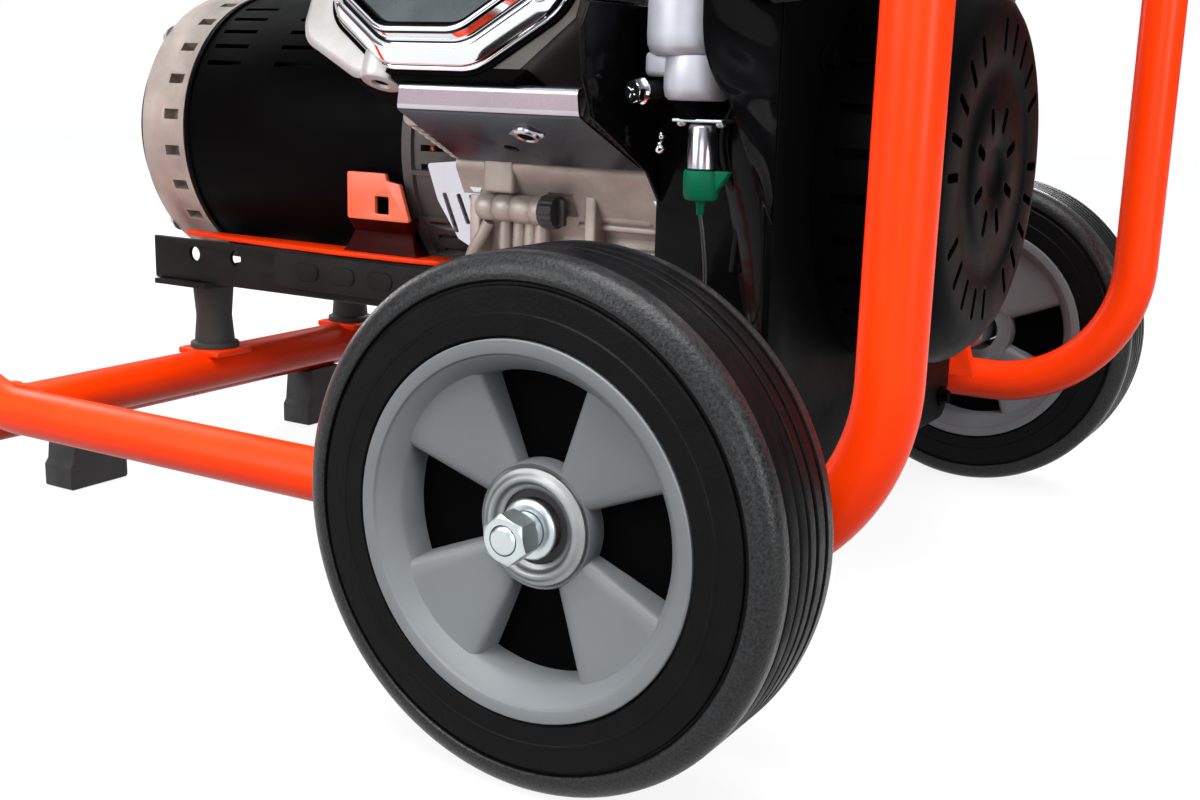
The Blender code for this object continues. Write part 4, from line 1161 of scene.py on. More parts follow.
def end_panel():
    """Black sheet at the starter end, open behind the starter."""
    low = span("blower_housing")[0]
    top = 358.0
    panel = prism("end_panel", round_rect((-149.6, 149.6), (low.z, top), 14, 8), PANEL_X, PANEL_X + 1.8,
                  across_x(0))
    window = rod("panel_window", at(-230, 0, CRANK_Z, "X"), 104, 20, 0.1, 96)
    cut(panel, window)
    edge_line = round_rect((-148.4, 148.4), (low.z + 1.6, top - 1.6), 13, 8)
    roll = sweep("end_panel_roll", [(-219.6, u, v) for u, v in edge_line], 1.6, closed=True, sides=12)
    piece(group("end_panel_sheet", [rounded(panel, 0.5, 2), roll]), PANEL, smooth=50)


def shroud_embossing():
    """Pressed ridges on the shroud and the gusset to the end panel."""
    ridges = []
    for route in (
            [(-218, 150, 300), (-206, 146, 296), (-196, 140, 286), (-188, 136, 270),
             (-190, 132, 250), (-200, 130, 236), (-214, 130, 230)],
            [(-216, 148, 322), (-196, 140, 316), (-178, 134, 304), (-166, 132, 286)],
            [(-216, 140, 262), (-206, 136, 252), (-200, 132, 238), (-200, 130, 214)],
            [(-206, 129, 330), (-200, 129, 268), (-194, 129, 200)]):
        ridges.append(sweep("shroud_ridge", smooth_path(route, 8), 4.5, sides=18))
    gusset = loft("shroud_gusset", [
        [(-221, 149, 342), (-221, 126, 342), (-150, 126, 342), (-150, 130, 342)],
        [(-221, 149, 300), (-221, 126, 300), (-158, 126, 300), (-160, 133, 300)],
        [(-221, 148, 240), (-221, 126, 240), (-186, 126, 240), (-188, 131, 240)],
        [(-221, 147, 150), (-221, 126, 150), (-200, 126, 150), (-202, 130, 150)]])
    soft = gusset.modifiers.new("soft", "SUBSURF")
    soft.levels = soft.render_levels = 3
    settle(gusset)
    piece(group("shroud_embossing", ridges + [gusset]), BLACK, smooth=70)


def panel_fixings():
    corners = [at(PANEL_X, y, z, "-X") for z in (92, 344) for y in (-136, 136)]
    bolts("end_panel_bolts", corners, DEEP_BLACK, across=8, head=4.5, washer=7)
    clips = [lathe("baffle_clip", [(0, 3.4), (2.0, 3.0), (3.2, 1.6), (3.4, 0), (0, 0)],
                   at(-157.5, 148, 261.6, "Y"), 28, False),
             lathe("baffle_clip", [(0, 4.4), (1.4, 4.0), (2.2, 2.6), (2.4, 0), (0, 0)],
                   at(-158.6, 147, 267.4, "Y"), 28, False)]
    piece(group("baffle_clips", clips), CHROME, smooth=60)


def shroud_ear():
    """Sheet that runs from the edge of the shroud's side to the end panel, slightly wavy."""
    edge = [(-200, 345), (-200, 330), (-201, 313), (-204.5, 301.5), (-210, 292.5), (-215, 287.5),
            (-217, 280), (-218.5, 262), (-220, 245), (-221, 228)]
    bottom = edge[-1][1]
    columns = 16
    rows = []
    for x, z in smooth_path(edge, 6):
        front = 152.0 + 37.0 * min((z - bottom) / 55.0, 1.0)
        row = []
        for j in range(columns + 1):
            share = j / columns
            wave = 1.6 * math.sin(z * 0.17 + share * 3.0) * math.sin(math.pi * share)
            row.append((x + (-221.2 - x) * share - wave, front + (151.0 - front) * share + wave * 0.6, z))
        rows.append(row)
    piece(sheet("shroud_ear_sheet", rows, 1.4), BLACK, smooth=60)


ROPE_X, ROPE_Y = -262.0, -45.0


def recoil():
    """Starter cover with vent slots, a black liner behind them as painted shade, the rope's guide and the
    bolts.
    """
    low, high = span("recoil_cover")
    place = at(low.x, 0, CRANK_Z, "X")
    deep = high.x - low.x
    profile = [(0, 2.0), (13, 2.0), (15, 0.4), (42, 0), (44, 1.2), (60, 1.2), (62, 0.3), (84, 0.3),
               (90, 1.6), (97, 6.4), (104.5, 15.0), (107.2, 21.0), (107.6, 26.0), (107.6, deep),
               (104.6, deep), (104.6, 27), (96, 12), (88, 4.5), (0, 4.5)]
    cover = lathe("recoil_dome", profile, place, 120, ring=False)
    cutters = [prism("recoil_vent", round_rect((64, 82), (-2.4, 2.4), 2.3, 6), -4, 12, turn)
               for i, turn in enumerate(around(place, 24)) if i % 6 != 5]
    cutters += [prism("recoil_side_vent", round_rect((99, 116), (-2.6, 2.6), 2.4, 5), 32, 52, turn)
                for turn in around(place, 30)]
    cutters += [prism("recoil_inner_vent", round_rect((22, 37), (-3, 3), 2.8, 6), -4, 12, turn)
                for turn in around(place, 8, 22.5)]
    cut(cover, *cutters)
    piece(cover, PANEL, "frame", "recoil_cover", smooth=45)
    # Painted shade: a black liner inside the cover keeps the vent slots dark.
    shade_liner = lathe("recoil_painted_shade_liner", [(0, 5.4), (88, 5.4), (96, 13), (103.6, 27), (103.6, deep - 0.4),
                                   (101, deep - 0.4), (101, 27), (94, 14), (87, 7), (0, 7)], place, 96,
                  ring=False)
    piece(shade_liner, DEEP_BLACK, smooth=45)
    guide = lathe("rope_guide", [(3.2, 0), (5.2, 0), (6.8, 1.5), (7.0, 4), (5.4, 6.5), (3.4, 6.5),
                                 (2.9, 3.4)], at(ROPE_X, ROPE_Y, 346.0), 36)
    tower = block("rope_tower", (ROPE_X - 11, ROPE_X + 11), (ROPE_Y - 11, ROPE_Y + 11), (330, 347), 3.5)
    cut(tower, rod("tower_bore", at(ROPE_X, ROPE_Y, 320), 4.0, 40, 0.1))
    piece(guide, ZINC)
    piece(tower, BLACK)
    spots = [on_circle(113.5, turn) for turn in (30, 150, 270)]
    bolts("recoil_bolts", [at(PANEL_X - 0.5, y, CRANK_Z + z, "-X") for y, z in spots], DEEP_BLACK,
          across=8, head=5, washer=7)


def rope_and_grip():
    """Starter rope up through its guide, with the grip on top."""
    low, high = span("recoil_grip")
    cord = sweep("starter_rope", [(ROPE_X, ROPE_Y, low.z + 4 * i) for i in range(50)], 2.3, sides=14)
    piece(cord, ROPE, "recoil_grip", "recoil_grip")
    rings = []
    for i in range(13):
        share = i / 12
        y = low.y + 0.5 + (high.y - low.y - 1) * share
        bulge = math.sin(math.pi * min(max(share, 0.03), 0.97)) ** 0.35
        waist = 0.9 - 0.14 * math.exp(-((share - 0.5) / 0.16) ** 2)
        rings.append([(ROPE_X + u * waist, y, high.z - 9 + v * 8.8 / 12.4)
                      for u, v in circle(0, 0, 12.4 * bulge, 28)])
    piece(loft("starter_grip", rings), RUBBER, "recoil_grip", smooth=60)


CARB_X, CARB_Y = -180.0, SOLENOID.y


def carburettor():
    """Casting with throat and float bowl, and the drain bolt."""
    top = span("carburettor")[1].z
    body = lathe("carb_body", [
        (0, top), (15, top), (17.0, top - 1.6), (17.4, top - 9), (19.5, top - 11), (19.8, 316),
        (19.5, 311), (18.2, 307.8), (16.0, 306.2), (0, 305.6)], at(CARB_X, CARB_Y, 0), 72,
        ring=False)
    bowl = lathe("float_bowl", [(0, 307), (15.0, 306.4), (15.6, 304), (16.0, 298), (16.0, 291),
                                (15.2, 287.0), (13.4, 285.4), (0, 285.2)],
                 at(CARB_X - 5.6, CARB_Y, 0), 72, ring=False)
    throat = lathe("carb_throat", [(0, 0.3), (12.5, 0.3), (13, 2), (13, 9), (12.4, 11), (12.4, 77),
                                   (13, 79), (13, 87.5), (0, 87.5)],
                   at(-219.7, CARB_Y, 345.6, "X"), 64, ring=False)
    side = block("bowl_side", (CARB_X + 2, CARB_X + 19), (CARB_Y - 8, CARB_Y + 9), (296, 308), 3.0)
    flange = block("carb_flange", (-137, -132), (CARB_Y - 31, CARB_Y + 27), (332, 360), 4.0)
    piece(group("carburettor_casting", [body, bowl, throat, side, flange]), CARB, "frame",
          "carburettor", smooth=45)
    foot = lathe("bowl_foot", [(0, 285.8), (12, 285.8), (12, 283.6), (9.6, 282), (9.6, 276.5),
                               (0, 276.5)], at(CARB_X - 5, CARB_Y - 1, 0), 40, ring=False)
    pin = rod("bowl_pin", at(SOLENOID.x + 9, CARB_Y + 6, 276.8), 1.7, 9, 0.2, 24)
    piece(group("bowl_underside", [foot, pin]), DEEP_BLACK)
    drain_at = turned(at(CARB_X + 17.5, CARB_Y + 13.0, 289.3, "Y", 15), 18, "Y")
    drain = bolt(drain_at, 10.4, 6.0, flange=6.6)
    cross_recess(drain[0], drain_at, 3.4, 0.6, 4.4, 8, first=45)
    piece(group("bowl_drain_bolt", drain), CHROME, smooth=25)
    piece(rod("drain_shank", lifted(drain_at, -12), 4.4, 12.0, 0.3), DARK)


def solenoid():
    """Fuel cut solenoid under the carburettor, with its boot and wire."""
    plate = block("solenoid_plate", (SOLENOID.x - 13.5, SOLENOID.x + 13.5),
                  (CARB_Y - 7, CARB_Y + 7.5), (275.4, 277.0), 0.5)
    fittings = [plate]
    for x in (-11.0, 10.0):
        fittings += screw(at(SOLENOID.x + x, CARB_Y + 3.5, 275.4, "-Z"), 2.6, 2.2)
    piece(group("solenoid_plate_and_screws", fittings), ZINC)
    can_low = span("fuel_cut_solenoid")[0]
    can = lathe("solenoid_can", [(0, 0), (6.7, 0), (7.2, 0.6), (7.2, 20.0), (6.6, 21.1), (5.6, 21.6),
                                 (0, 21.6)], at(SOLENOID.x, SOLENOID.y, can_low.z), 56, ring=False)
    piece(can, SHEET_ZINC, "frame", "fuel_cut_solenoid")
    cap = lathe("solenoid_boot", [(0, 252.6), (6.0, 252.6), (8.2, 252.6), (8.6, 251.9), (8.8, 248),
                                  (8.6, 240.6), (7.6, 238.6), (5.8, 238), (2.6, 237.6), (2.1, 236),
                                  (1.8, 231.4), (1.5, 231.1), (0, 231.1)],
                at(SOLENOID.x, SOLENOID.y, 0), 48, ring=False)
    tab = prism("boot_tab", [(0, 252.6), (-16.0, 252.6), (-8.4, 242.0), (0, 240.0)], -2.4, 2.4,
                Matrix.Translation((SOLENOID.x, SOLENOID.y, 0)) @ across_y(0))
    piece(group("solenoid_boot_moulding", [cap, rounded(tab, 0.6, 2)]), GREEN, "frame",
          "solenoid_cap", smooth=45)
    bends = ((0, 0, 232), (-1.5, -1, 222), (-2.5, -3, 205), (-1, -8, 185), (2, -20, 172), (4, -34, 168),
             (6, -48, 170))
    route = [(SOLENOID.x + x, SOLENOID.y + y, z) for x, y, z in bends]
    hose("solenoid_wire", route, 1.1, SMOOTH_PLASTIC, 12)


def choke():
    low, high = span("choke_lever")
    x = (low.x + high.x) / 2
    blade_line = [(x - 5.6, 338), (x - 3, 366), (x - 4, 371.6), (x + 4, 371.6), (x + 3, 366),
                  (x + 5.6, 338)]
    lever = prism("choke_blade", fillet(blade_line + arc(x, 338, 5.8, 0, -180, 12), 1.2, 3),
                  -1.1, 1.1, across_y((low.y + high.y) / 2))
    knob = block("choke_knob", (x - 5, x + 5), (low.y - 0.2, high.y + 6), (360, 371.6), 2.0)
    piece(group("choke_lever_arm", [rounded(lever, 0.4, 2), knob]), SMOOTH_PLASTIC, "choke_lever",
          "choke_lever")


def air_cleaner():
    low, high = span("air_cleaner")
    base = 362.0
    top = high.z
    steps = ((2.5, base), (0.4, base + 1.5), (0, base + 4), (0, base + 24), (2.6, base + 25),
             (2.6, base + 27), (0.3, base + 28.5), (0, base + 31), (1.5, top - 12), (5, top - 4.5),
             (11, top - 1), (18, top))
    case = loft("air_cleaner_case", stepped((low.x, high.x), (low.y, high.y), steps, 17))
    ribs = [block("cleaner_rib", (low.x + 24 + i * 17, low.x + 29 + i * 17), (low.y + 22, high.y - 22),
                  (top - 1.2, top + 1.2), 1.0) for i in range(6)]
    piece(group("air_cleaner_shell", [case] + ribs), PLASTIC, "frame", "air_cleaner", smooth=40)
    elbow = sweep("intake_elbow", smooth_path([(-221, 162, 345), (-234, 162, 347), (-241, 162, 354),
                                               (-243, 161, 366)], 8), 14.5, sides=32)
    piece(elbow, PLASTIC, smooth=60)
    clips = []
    for x in (low.x + 38, high.x - 38):
        for y, way in ((low.y - 0.6, -1), (high.y + 0.6, 1)):
            line = [(x, y, base + 16), (x, y + way * 2.6, base + 20), (x, y + way * 2.8, base + 34),
                    (x, y + way * 0.6, base + 42)]
            clips.append(sweep("cleaner_clip", smooth_path(line, 6), [(-6, -0.6), (6, -0.6), (6, 0.6),
                                                                      (-6, 0.6)]))
    piece(group("air_cleaner_clips", clips), ZINC, smooth=60)


def exhaust():
    low, high = span("muffler")
    y0, y1, z0, z1 = low.y, high.y, 342.0, high.z
    steps = ((16, 47), (5, 49.5), (0.8, 54), (0, 60), (0, 134), (-1.2, 136.5), (-1.2, 141), (0, 143.5),
             (0, 224), (0.8, 230), (5, 234.5), (16, 237))
    shell = loft("muffler_shell", stepped((y0, y1), (z0, z1), steps, 36, 10), across_x(0))
    piece(shell, MUFFLER, "frame", "muffler", smooth=40)
    pipe = sweep("exhaust_pipe", smooth_path([(34, 128, 352), (40, 128, 354), (50, 129, 362)], 8), 14,
                 sides=32)
    tail = lathe("tail_pipe", [(8, 0), (11.8, 0), (11.8, 22), (8.4, 22)],
                 at(high.x - 23, 128, 395, "X"), 40)
    piece(group("exhaust_pipes", [pipe, tail]), MUFFLER, smooth=60)
    bars = []
    for i in range(9):
        x = 66 + i * 19.5
        line = [(x, y1 + 3, z0 + 12), (x, y1 + 10, z0 + 26), (x, y1 + 11, z1 - 24),
                (x, y1 + 2, z1 - 2), (x, y1 - 22, z1 + 4)]
        bars.append(sweep("guard_bar", smooth_path(line, 8), 1.8, sides=12))
    for y, z in ((y1 + 10.2, z0 + 24), (y1 + 11, z1 - 26), (y1 - 18, z1 + 3.6)):
        bars.append(sweep("guard_rail", [(60 + 3 * i, y, z) for i in range(56)], 2.4, sides=12))
    piece(group("muffler_guard", bars), PANEL, smooth=60)


# ---------------------------------------------------------------- alternator

GUARD_Y = 98.6


def drive_bell(centre_line):
    """Cast end beside the engine, with its slots and ribs."""
    bell = lathe("drive_bell_casting", [
        (95.8, 50), (95.8, 43), (93.6, 42), (93.6, 24), (90, 14), (83, 3.5), (78, 1.2), (20, 1.2),
        (20, 8), (76, 10), (88, 24), (88, 50)], centre_line, 120)
    windows = [prism("bell_slot", round_rect((60, 110), (-1.9, 1.9), 1.8, 4), 14, 37, turned(spin, step))
               for spin in around(centre_line, 10, 18) for step in (-7, 0, 7)]
    cut(bell, *windows)
    piece(bell, CAST_DIM, "frame", "drive_bell", smooth=45)
    rib = fillet([(84, 3), (90, 10), (95.6, 24), (95.6, 46), (92, 46), (80, 6)], 1.2, 2)
    ribs = [prism("bell_rib", rib, -1.5, 1.5, turned(spin, 90, "X"))
            for spin in around(centre_line, 20, 9)]
    piece(group("drive_bell_ribs", ribs), CAST_DIM, smooth=45)


def stator(centre_line):
    """Laminated core, windings and the bolts that hold both bells."""
    profile = []
    count = 40
    pitch = (99.0 - 52.0) / count
    for i in range(count):
        x = 52.0 + i * pitch
        profile += [(86.0, x), (86.0, x + pitch * 0.72), (85.3, x + pitch * 0.75),
                    (85.3, x + pitch * 0.98)]
    profile += [(86, 99.0), (86, 212), (54, 212), (54, 52)]
    core = lathe("stator_core", profile, centre_line, 96)
    piece(core, STEEL, "frame", "alternator_stator", smooth=30)
    coil = [(60, 0), (78, 0), (81, 3), (81, 13), (78, 16), (60, 16), (57, 13), (57, 3)]
    coil_ends = [lathe("coil_end", coil, at(x, 0, CRANK_Z, "X"), 72) for x in (212.4, 36.0)]
    piece(group("stator_windings", coil_ends), COPPER, smooth=50)
    rods = []
    for turn in (45, 135, 225, 315):
        y, z = on_circle(89.6, turn)
        rods.append(rod("through_bolt", at(51, y, CRANK_Z + z, "X"), 3.0, 50, 0.3, 20))
        head_y = on_circle(88.65, turn)[0]
        rods += bolt(at(276, head_y, CRANK_Z + z * 0.985, "X"), 10, 6, flange=8)
    piece(group("alternator_through_bolts", rods), ZINC, smooth=25)


def outer_band(centre_line):
    """Black band round the stator, with two sets of slits."""
    cover = lathe("alternator_band", [
        (94.9, 236), (94.9, 233), (93.6, 232.2), (93.6, 55), (94.9, 54.4), (94.9, 50.8),
        (88, 50.8), (88, 236)], centre_line, 120)
    slits = []
    for i in range(5):
        for low in (196, 136):
            slits += [prism("band_slit", round_rect((80, 110), (-1.7, 1.7), 1.6, 4), low, low + 30, spin)
                      for spin in around(centre_line, 2, i * 8 - 60)]
    cut(cover, *slits)
    piece(cover, PANEL, "frame", "alternator_cover", smooth=40)


def end_bell(centre_line):
    """Outer cast end with its windows, and the louvred cover on it."""
    bell = lathe("end_bell_casting", [
        (94.6, 276), (94.6, 262), (93, 260), (93, 240), (94.6, 239), (94.6, 237.2), (86, 237.2),
        (86, 244), (60, 252), (9, 252), (9, 256), (56, 256), (84, 276)], centre_line, 120)
    cut(bell, *[prism("end_slot", round_rect((84, 110), (-3.4, 3.4), 3.0, 5), 244, 257, spin)
                for spin in around(centre_line, 24, 7.5)])
    piece(bell, CAST, "frame", "end_bell", smooth=45)

    cap = lathe("end_cover_dome", [(0, 295.6), (24, 295.6), (27, 294.2), (60, 294.2), (63, 295.6),
                                   (76, 295.2), (82, 291.5), (84, 286), (84, 277.2), (0, 277.2)],
                centre_line, 96, ring=False)
    louvres = []
    for i in range(9):
        z = CRANK_Z - 44 + i * 11
        reach = math.sqrt(56 ** 2 - (z - CRANK_Z) ** 2)
        louvres.append(prism("louvre", round_rect((-reach, reach), (z - 2.2, z + 2.2), 2.1, 5), 288,
                             300, across_x(0)))
    cut(cap, *louvres)
    piece(cap, PANEL, "frame", "alternator_end_cover", smooth=40)
    screws = []
    for turn in (45, 135, 225, 315):
        y, z = on_circle(70, turn)
        screws += screw(at(295.2, y, CRANK_Z + z, "X"), 4.2, 2.0)
    piece(group("end_cover_screws", screws), ZINC)


def slotted_guard():
    """Thin pale plate between the alternator and the crankcase."""
    outline = [(27.5, 241.5), (-10.6, 245.6), (-12.2, 224.5), (-7.4, 221.5), (-5.8, 194.0),
               (4.0, 198.5), (19.6, 220.3)]
    guard = prism("slotted_guard", fillet(outline, 1.6, 3), -0.8, 0.8, across_y(GUARD_Y))
    slots = []
    half = 1.7
    top = 225.0
    for x, foot_x, foot_z in ((14.9, 5.0, 202), (4.6, -3.3, 207.5), (-4.4, -9.6, 216)):
        line = [(x - half, top), (x + half, top), (foot_x + half, foot_z), (foot_x - half, foot_z)]
        slots.append(prism("guard_slot", fillet(line, 1.2, 3), -5, 5, across_y(GUARD_Y)))
    cut(guard, *slots)
    piece(guard, GUARD_GREY)


def alternator():
    centre_line = at(0, 0, CRANK_Z, "X")
    drive_bell(centre_line)
    stator(centre_line)
    outer_band(centre_line)
    end_bell(centre_line)
    slotted_guard()


# ---------------------------------------------------------------- tank


def tank():
    x, y = (-185, 185), (-195, 195)
    seam = 532.0
    steps = ((46, 440), (24, 441.5), (10, 447), (2.5, 457), (0.8, 470), (0.0, 500), (0.0, seam - 3.5),
             (0.5, seam - 2.0), (0.5, seam + 2.0), (0.2, seam + 4), (1.2, 545), (4.5, 554), (11, 562),
             (21, 567.6), (36, 571), (60, 572))
    piece(loft("tank_shell", stepped(x, y, steps, 44, 12)), TANK, "frame", "fuel_tank", smooth=50)
    steps = ((0, seam - 2.2), (-7.0, seam - 2.2), (-8.4, seam - 1.4), (-8.4, seam + 1.4),
             (-7.0, seam + 2.2), (0, seam + 2.2))
    piece(loft("tank_seam", stepped(x, y, steps, 50, 12)), TANK, smooth=50)
    channels = []
    for spot in (-92, -46, 0, 46, 92):
        start = -128 if spot else -20
        outline = round_rect((start, 128), (spot - 8, spot + 8), 8, 8)
        channels.append(rounded(prism("tank_swage", outline, 570.6, 573.4), 1.2, 3))
    piece(group("tank_swages", channels), TANK, smooth=60)


def tank_fixings():
    """Ears, pads and bolts that hold the tank on its bars."""
    ears, fixings, pads = [], [], []
    mount_x, ear_top = 212, 533.6
    for x in (-1, 1):
        for y in (-130, 130):
            span_x = (min(x * 180, x * 217), max(x * 180, x * 217))
            ears.append(block("tank_ear", span_x, (y - 20, y + 20), (531.4, 533.7), 0.8))
            fixings += bolt(at(x * mount_x, y, ear_top + 22.6), 10, 5.5, washer=9)
            pads.append(rod("tank_pad", at(x * mount_x, y, 526.5), 10, 5, 1.0, 32))
            fixings += bolt(at(x * mount_x, y, 526.4, "-Z"), 10, 5, washer=8)
    piece(group("tank_ears", ears), TANK)
    piece(group("tank_mount_bolts", fixings), ZINC, smooth=25)
    piece(group("tank_mount_pads", pads), RUBBER)


def fuel_cap():
    """Filler neck, cap and gauge."""
    cap_low, cap_high = span("fuel_cap")
    spot = centre("fuel_cap")
    collar = lathe("filler_neck", [(26, 0), (44, 0), (42, 1.6), (38.5, 2.2), (37, 1.2), (26, 1.2)],
                   at(spot.x, spot.y, 571.6), 72)
    piece(collar, TANK, smooth=60)
    cap = prism("fuel_cap_skirt", knurled(35.2, 0.7, 36, 144), cap_low.z + 0.6, cap_high.z - 5.5,
                at(spot.x, spot.y, 0))
    dome = lathe("fuel_cap_dome", [(0, cap_high.z - 1), (16, cap_high.z - 1), (18, cap_high.z - 0.1),
                                   (28, cap_high.z - 0.4), (32.6, cap_high.z - 2.2),
                                   (34.8, cap_high.z - 5.6), (0, cap_high.z - 5.6)],
                 at(spot.x, spot.y, 0), 96, ring=False)
    bar = block("fuel_cap_bar", (spot.x - 14, spot.x + 14), (spot.y - 3, spot.y + 3),
                (cap_high.z - 2, cap_high.z - 0.1), 0.8)
    piece(group("fuel_cap_moulding", [cap, dome, bar]), PLASTIC, "fuel_cap", "fuel_cap")
    gauge = lathe("fuel_gauge", [(0, 4), (13, 4), (16, 3), (17.5, 0), (0, 0)], at(60, 0, 572.6), 48,
                  ring=False)
    piece(gauge, SMOOTH_PLASTIC)
    face = rod("fuel_gauge_face", at(60, 0, 576.2), 11.5, 0.6, 0.1, 40)
    piece(face, PLAIN_WHITE)


def fuel_valve():
    """Tap with its knob, and the hose to the carburettor."""
    v_low, v_high = span("fuel_valve_lever")
    tap = lathe("fuel_tap_body", [(0, 0), (9, 0), (9, 8), (11, 9), (11, 22), (9.5, 23.5), (0, 23.5)],
                at(150, 176, 430, "Y"), 40, ring=False)
    stem = rod("fuel_tap_stem", at(150, 188, 420), 7, 26, 0.8)
    outlet = rod("fuel_tap_outlet", at(150, 188, 402), 4, 20, 0.6)
    piece(group("fuel_tap", [tap, stem, outlet]), CARB)
    knob = rod("fuel_knob", at(150, v_low.y + 0.3, 430, "Y"), 6.9, v_high.y - v_low.y - 0.6, 0.8)
    arm = block("fuel_knob_arm", (146.2, 153.8), (205.2, 210.8), (392.2, 433), 2.0)
    piece(group("fuel_valve_knob", [knob, arm]), RED, "fuel_valve_lever", "fuel_valve_lever")
    hose("fuel_hose", [(150, 188, 403), (149, 189, 392), (138, 196, 384), (104, 202, 392),
                       (62, 206, 418), (10, 206, 430), (-50, 200, 432), (-104, 190, 418),
                       (-136, 176, 384), (-150, 168, 362), (-154, 166, 350)], 4.4, RUBBER, 18)
    clips = [lathe("hose_clip", [(4.5, 0), (5.6, 0), (5.6, 4), (4.5, 4)], at(*spot), 32)
             for spot in ((150, 188, 395), (-153.6, 166, 350))]
    piece(group("hose_clips", clips), ZINC)


# ---------------------------------------------------------------- control box

BOX_X, BOX_Z = (-60.0, 225.0), (250.0, 425.0)
BOX_FRONT, BOX_BACK = -225.0, -150.0
SOCKET_Y = BOX_FRONT - 1.0                      # seat of all that stands on the panel
LARGE_SOCKETS_X, LARGE_SOCKETS_Z = (92, 150), 320


def receptacle(place, radius):
    """A round socket with a sprung lid frame and three contacts."""
    ring = lathe("socket_ring", [(radius * 0.72, 2.0), (radius * 0.76, 5), (radius * 0.93, 5.4),
                                 (radius, 4), (radius, 0), (radius * 0.72, 0)], place, 56)
    well = lathe("socket_well", [(0, 1.0), (radius * 0.72, 1.0), (radius * 0.72, 0), (0, 0)], place, 48,
                 ring=False)
    face = lathe("socket_face", [(0, 3.4), (radius * 0.6, 3.4), (radius * 0.64, 2.8),
                                 (radius * 0.64, 0.5), (0, 0.5)], place, 48, ring=False)
    holes = []
    for turn in (90, 210, 330):
        spot = place @ Matrix.Translation((*on_circle(radius * 0.34, turn), 1.5))
        holes.append(rod("contact_hole", spot, radius * 0.1, 6, 0.05, 20))
    cut(face, *holes)
    return [ring, well, face]


def control_box():
    steps = ((5, 0), (1.4, 1.2), (0, 5), (0, 61), (1.4, 61.8), (1.4, 63.6), (0.2, 64.4), (0, 67),
             (0.6, 71), (2.4, 73.6), (5, 74.7))
    box = loft("control_box_shell", stepped(BOX_X, BOX_Z, steps, 12), across_y(BOX_BACK))
    piece(box, PLASTIC, "frame", "control_box", smooth=45)
    (x0, x1), (z0, z1) = BOX_X, BOX_Z
    face = prism("control_panel", round_rect((x0 + 9, x1 - 9), (z0 + 9, z1 - 9), 8, 8), 0.0, 2.2,
                 across_y(BOX_FRONT + 1.0))
    piece(rounded(face, 0.7, 2), FACE_GREY)
    strap_y, strap_z = (BOX_FRONT - 3, BOX_FRONT - 0.2), (z1 - 25, TOP_Z - 9)
    straps = [block("box_strap", (x - 10, x + 10), strap_y, strap_z, 0.8) for x in (-40, 180)]
    piece(group("box_straps", straps), BLACK)
    screws = []
    for x in (-40, 180):
        screws += bolt(at(x, BOX_FRONT - 3, z1 - 14, "-Y"), 8, 4, washer=6.5)
        screws += bolt(at(x, BOX_FRONT - 3, TOP_Z - 20, "-Y"), 8, 4, washer=6.5)
    for x in (x0 + 16, x1 - 16):
        screws += screw(at(x, BOX_FRONT - 1.2, z0 + 16, "-Y"), 3.6, 2.0)
    piece(group("control_box_screws", screws), ZINC, smooth=25)


def sockets_and_meter():
    """Receptacles with their contacts, and the meter with its dial."""
    sockets = []
    for x in LARGE_SOCKETS_X:
        sockets += receptacle(at(x, SOCKET_Y, LARGE_SOCKETS_Z, "-Y"), 24)
    sockets += receptacle(at(198, SOCKET_Y, 370, "-Y"), 15)
    piece(group("receptacles", sockets), SMOOTH_PLASTIC)
    contacts = []
    for x in LARGE_SOCKETS_X:
        for turn in (90, 210, 330):
            u, v = on_circle(8.2, turn)
            spot = at(x + u, BOX_FRONT - 1.8, LARGE_SOCKETS_Z + v, "-Y")
            contacts.append(rod("contact", spot, 1.9, 2.0, 0.1, 16))
    piece(group("receptacle_contacts", contacts), BRASS)

    bezel = prism("meter_bezel", round_rect((70, 130), (362, 408), 5, 6), 0, 5.5, across_y(SOCKET_Y))
    window = prism("meter_window", round_rect((75, 125), (367, 403), 3, 6), 3.0, 8, across_y(SOCKET_Y))
    cut(bezel, window)
    piece(rounded(bezel, 0.8, 2), SMOOTH_PLASTIC)
    dial = prism("meter_dial", round_rect((75.2, 124.8), (367.2, 402.8), 3, 6), 2.8, 3.3,
                 across_y(SOCKET_Y))
    piece(dial, PLAIN_WHITE)
    marks = []
    for i in range(11):
        direction = Vector(on_circle(1, 150 - i * 12))
        width = Vector((-direction.y, direction.x)) * 0.35
        root = Vector((100, 370))
        inner = root + direction * 21.0
        outer = root + direction * (25.5 if i % 5 == 0 else 23.6)
        tips = [inner + width, outer + width, outer - width, inner - width]
        marks.append(prism("dial_mark", tips, 3.2, 3.45, across_y(SOCKET_Y)))
    marks.append(prism("dial_needle", [(99.4, 370), (100.6, 370), (90.4, 393.6), (90.0, 393.6)], 3.6,
                       3.9, across_y(SOCKET_Y)))
    marks.append(rod("needle_hub", at(100, BOX_FRONT - 4.2, 371, "-Y"), 3.2, 1.2, 0.3, 24))
    piece(group("meter_marks", marks), SMOOTH_PLASTIC)


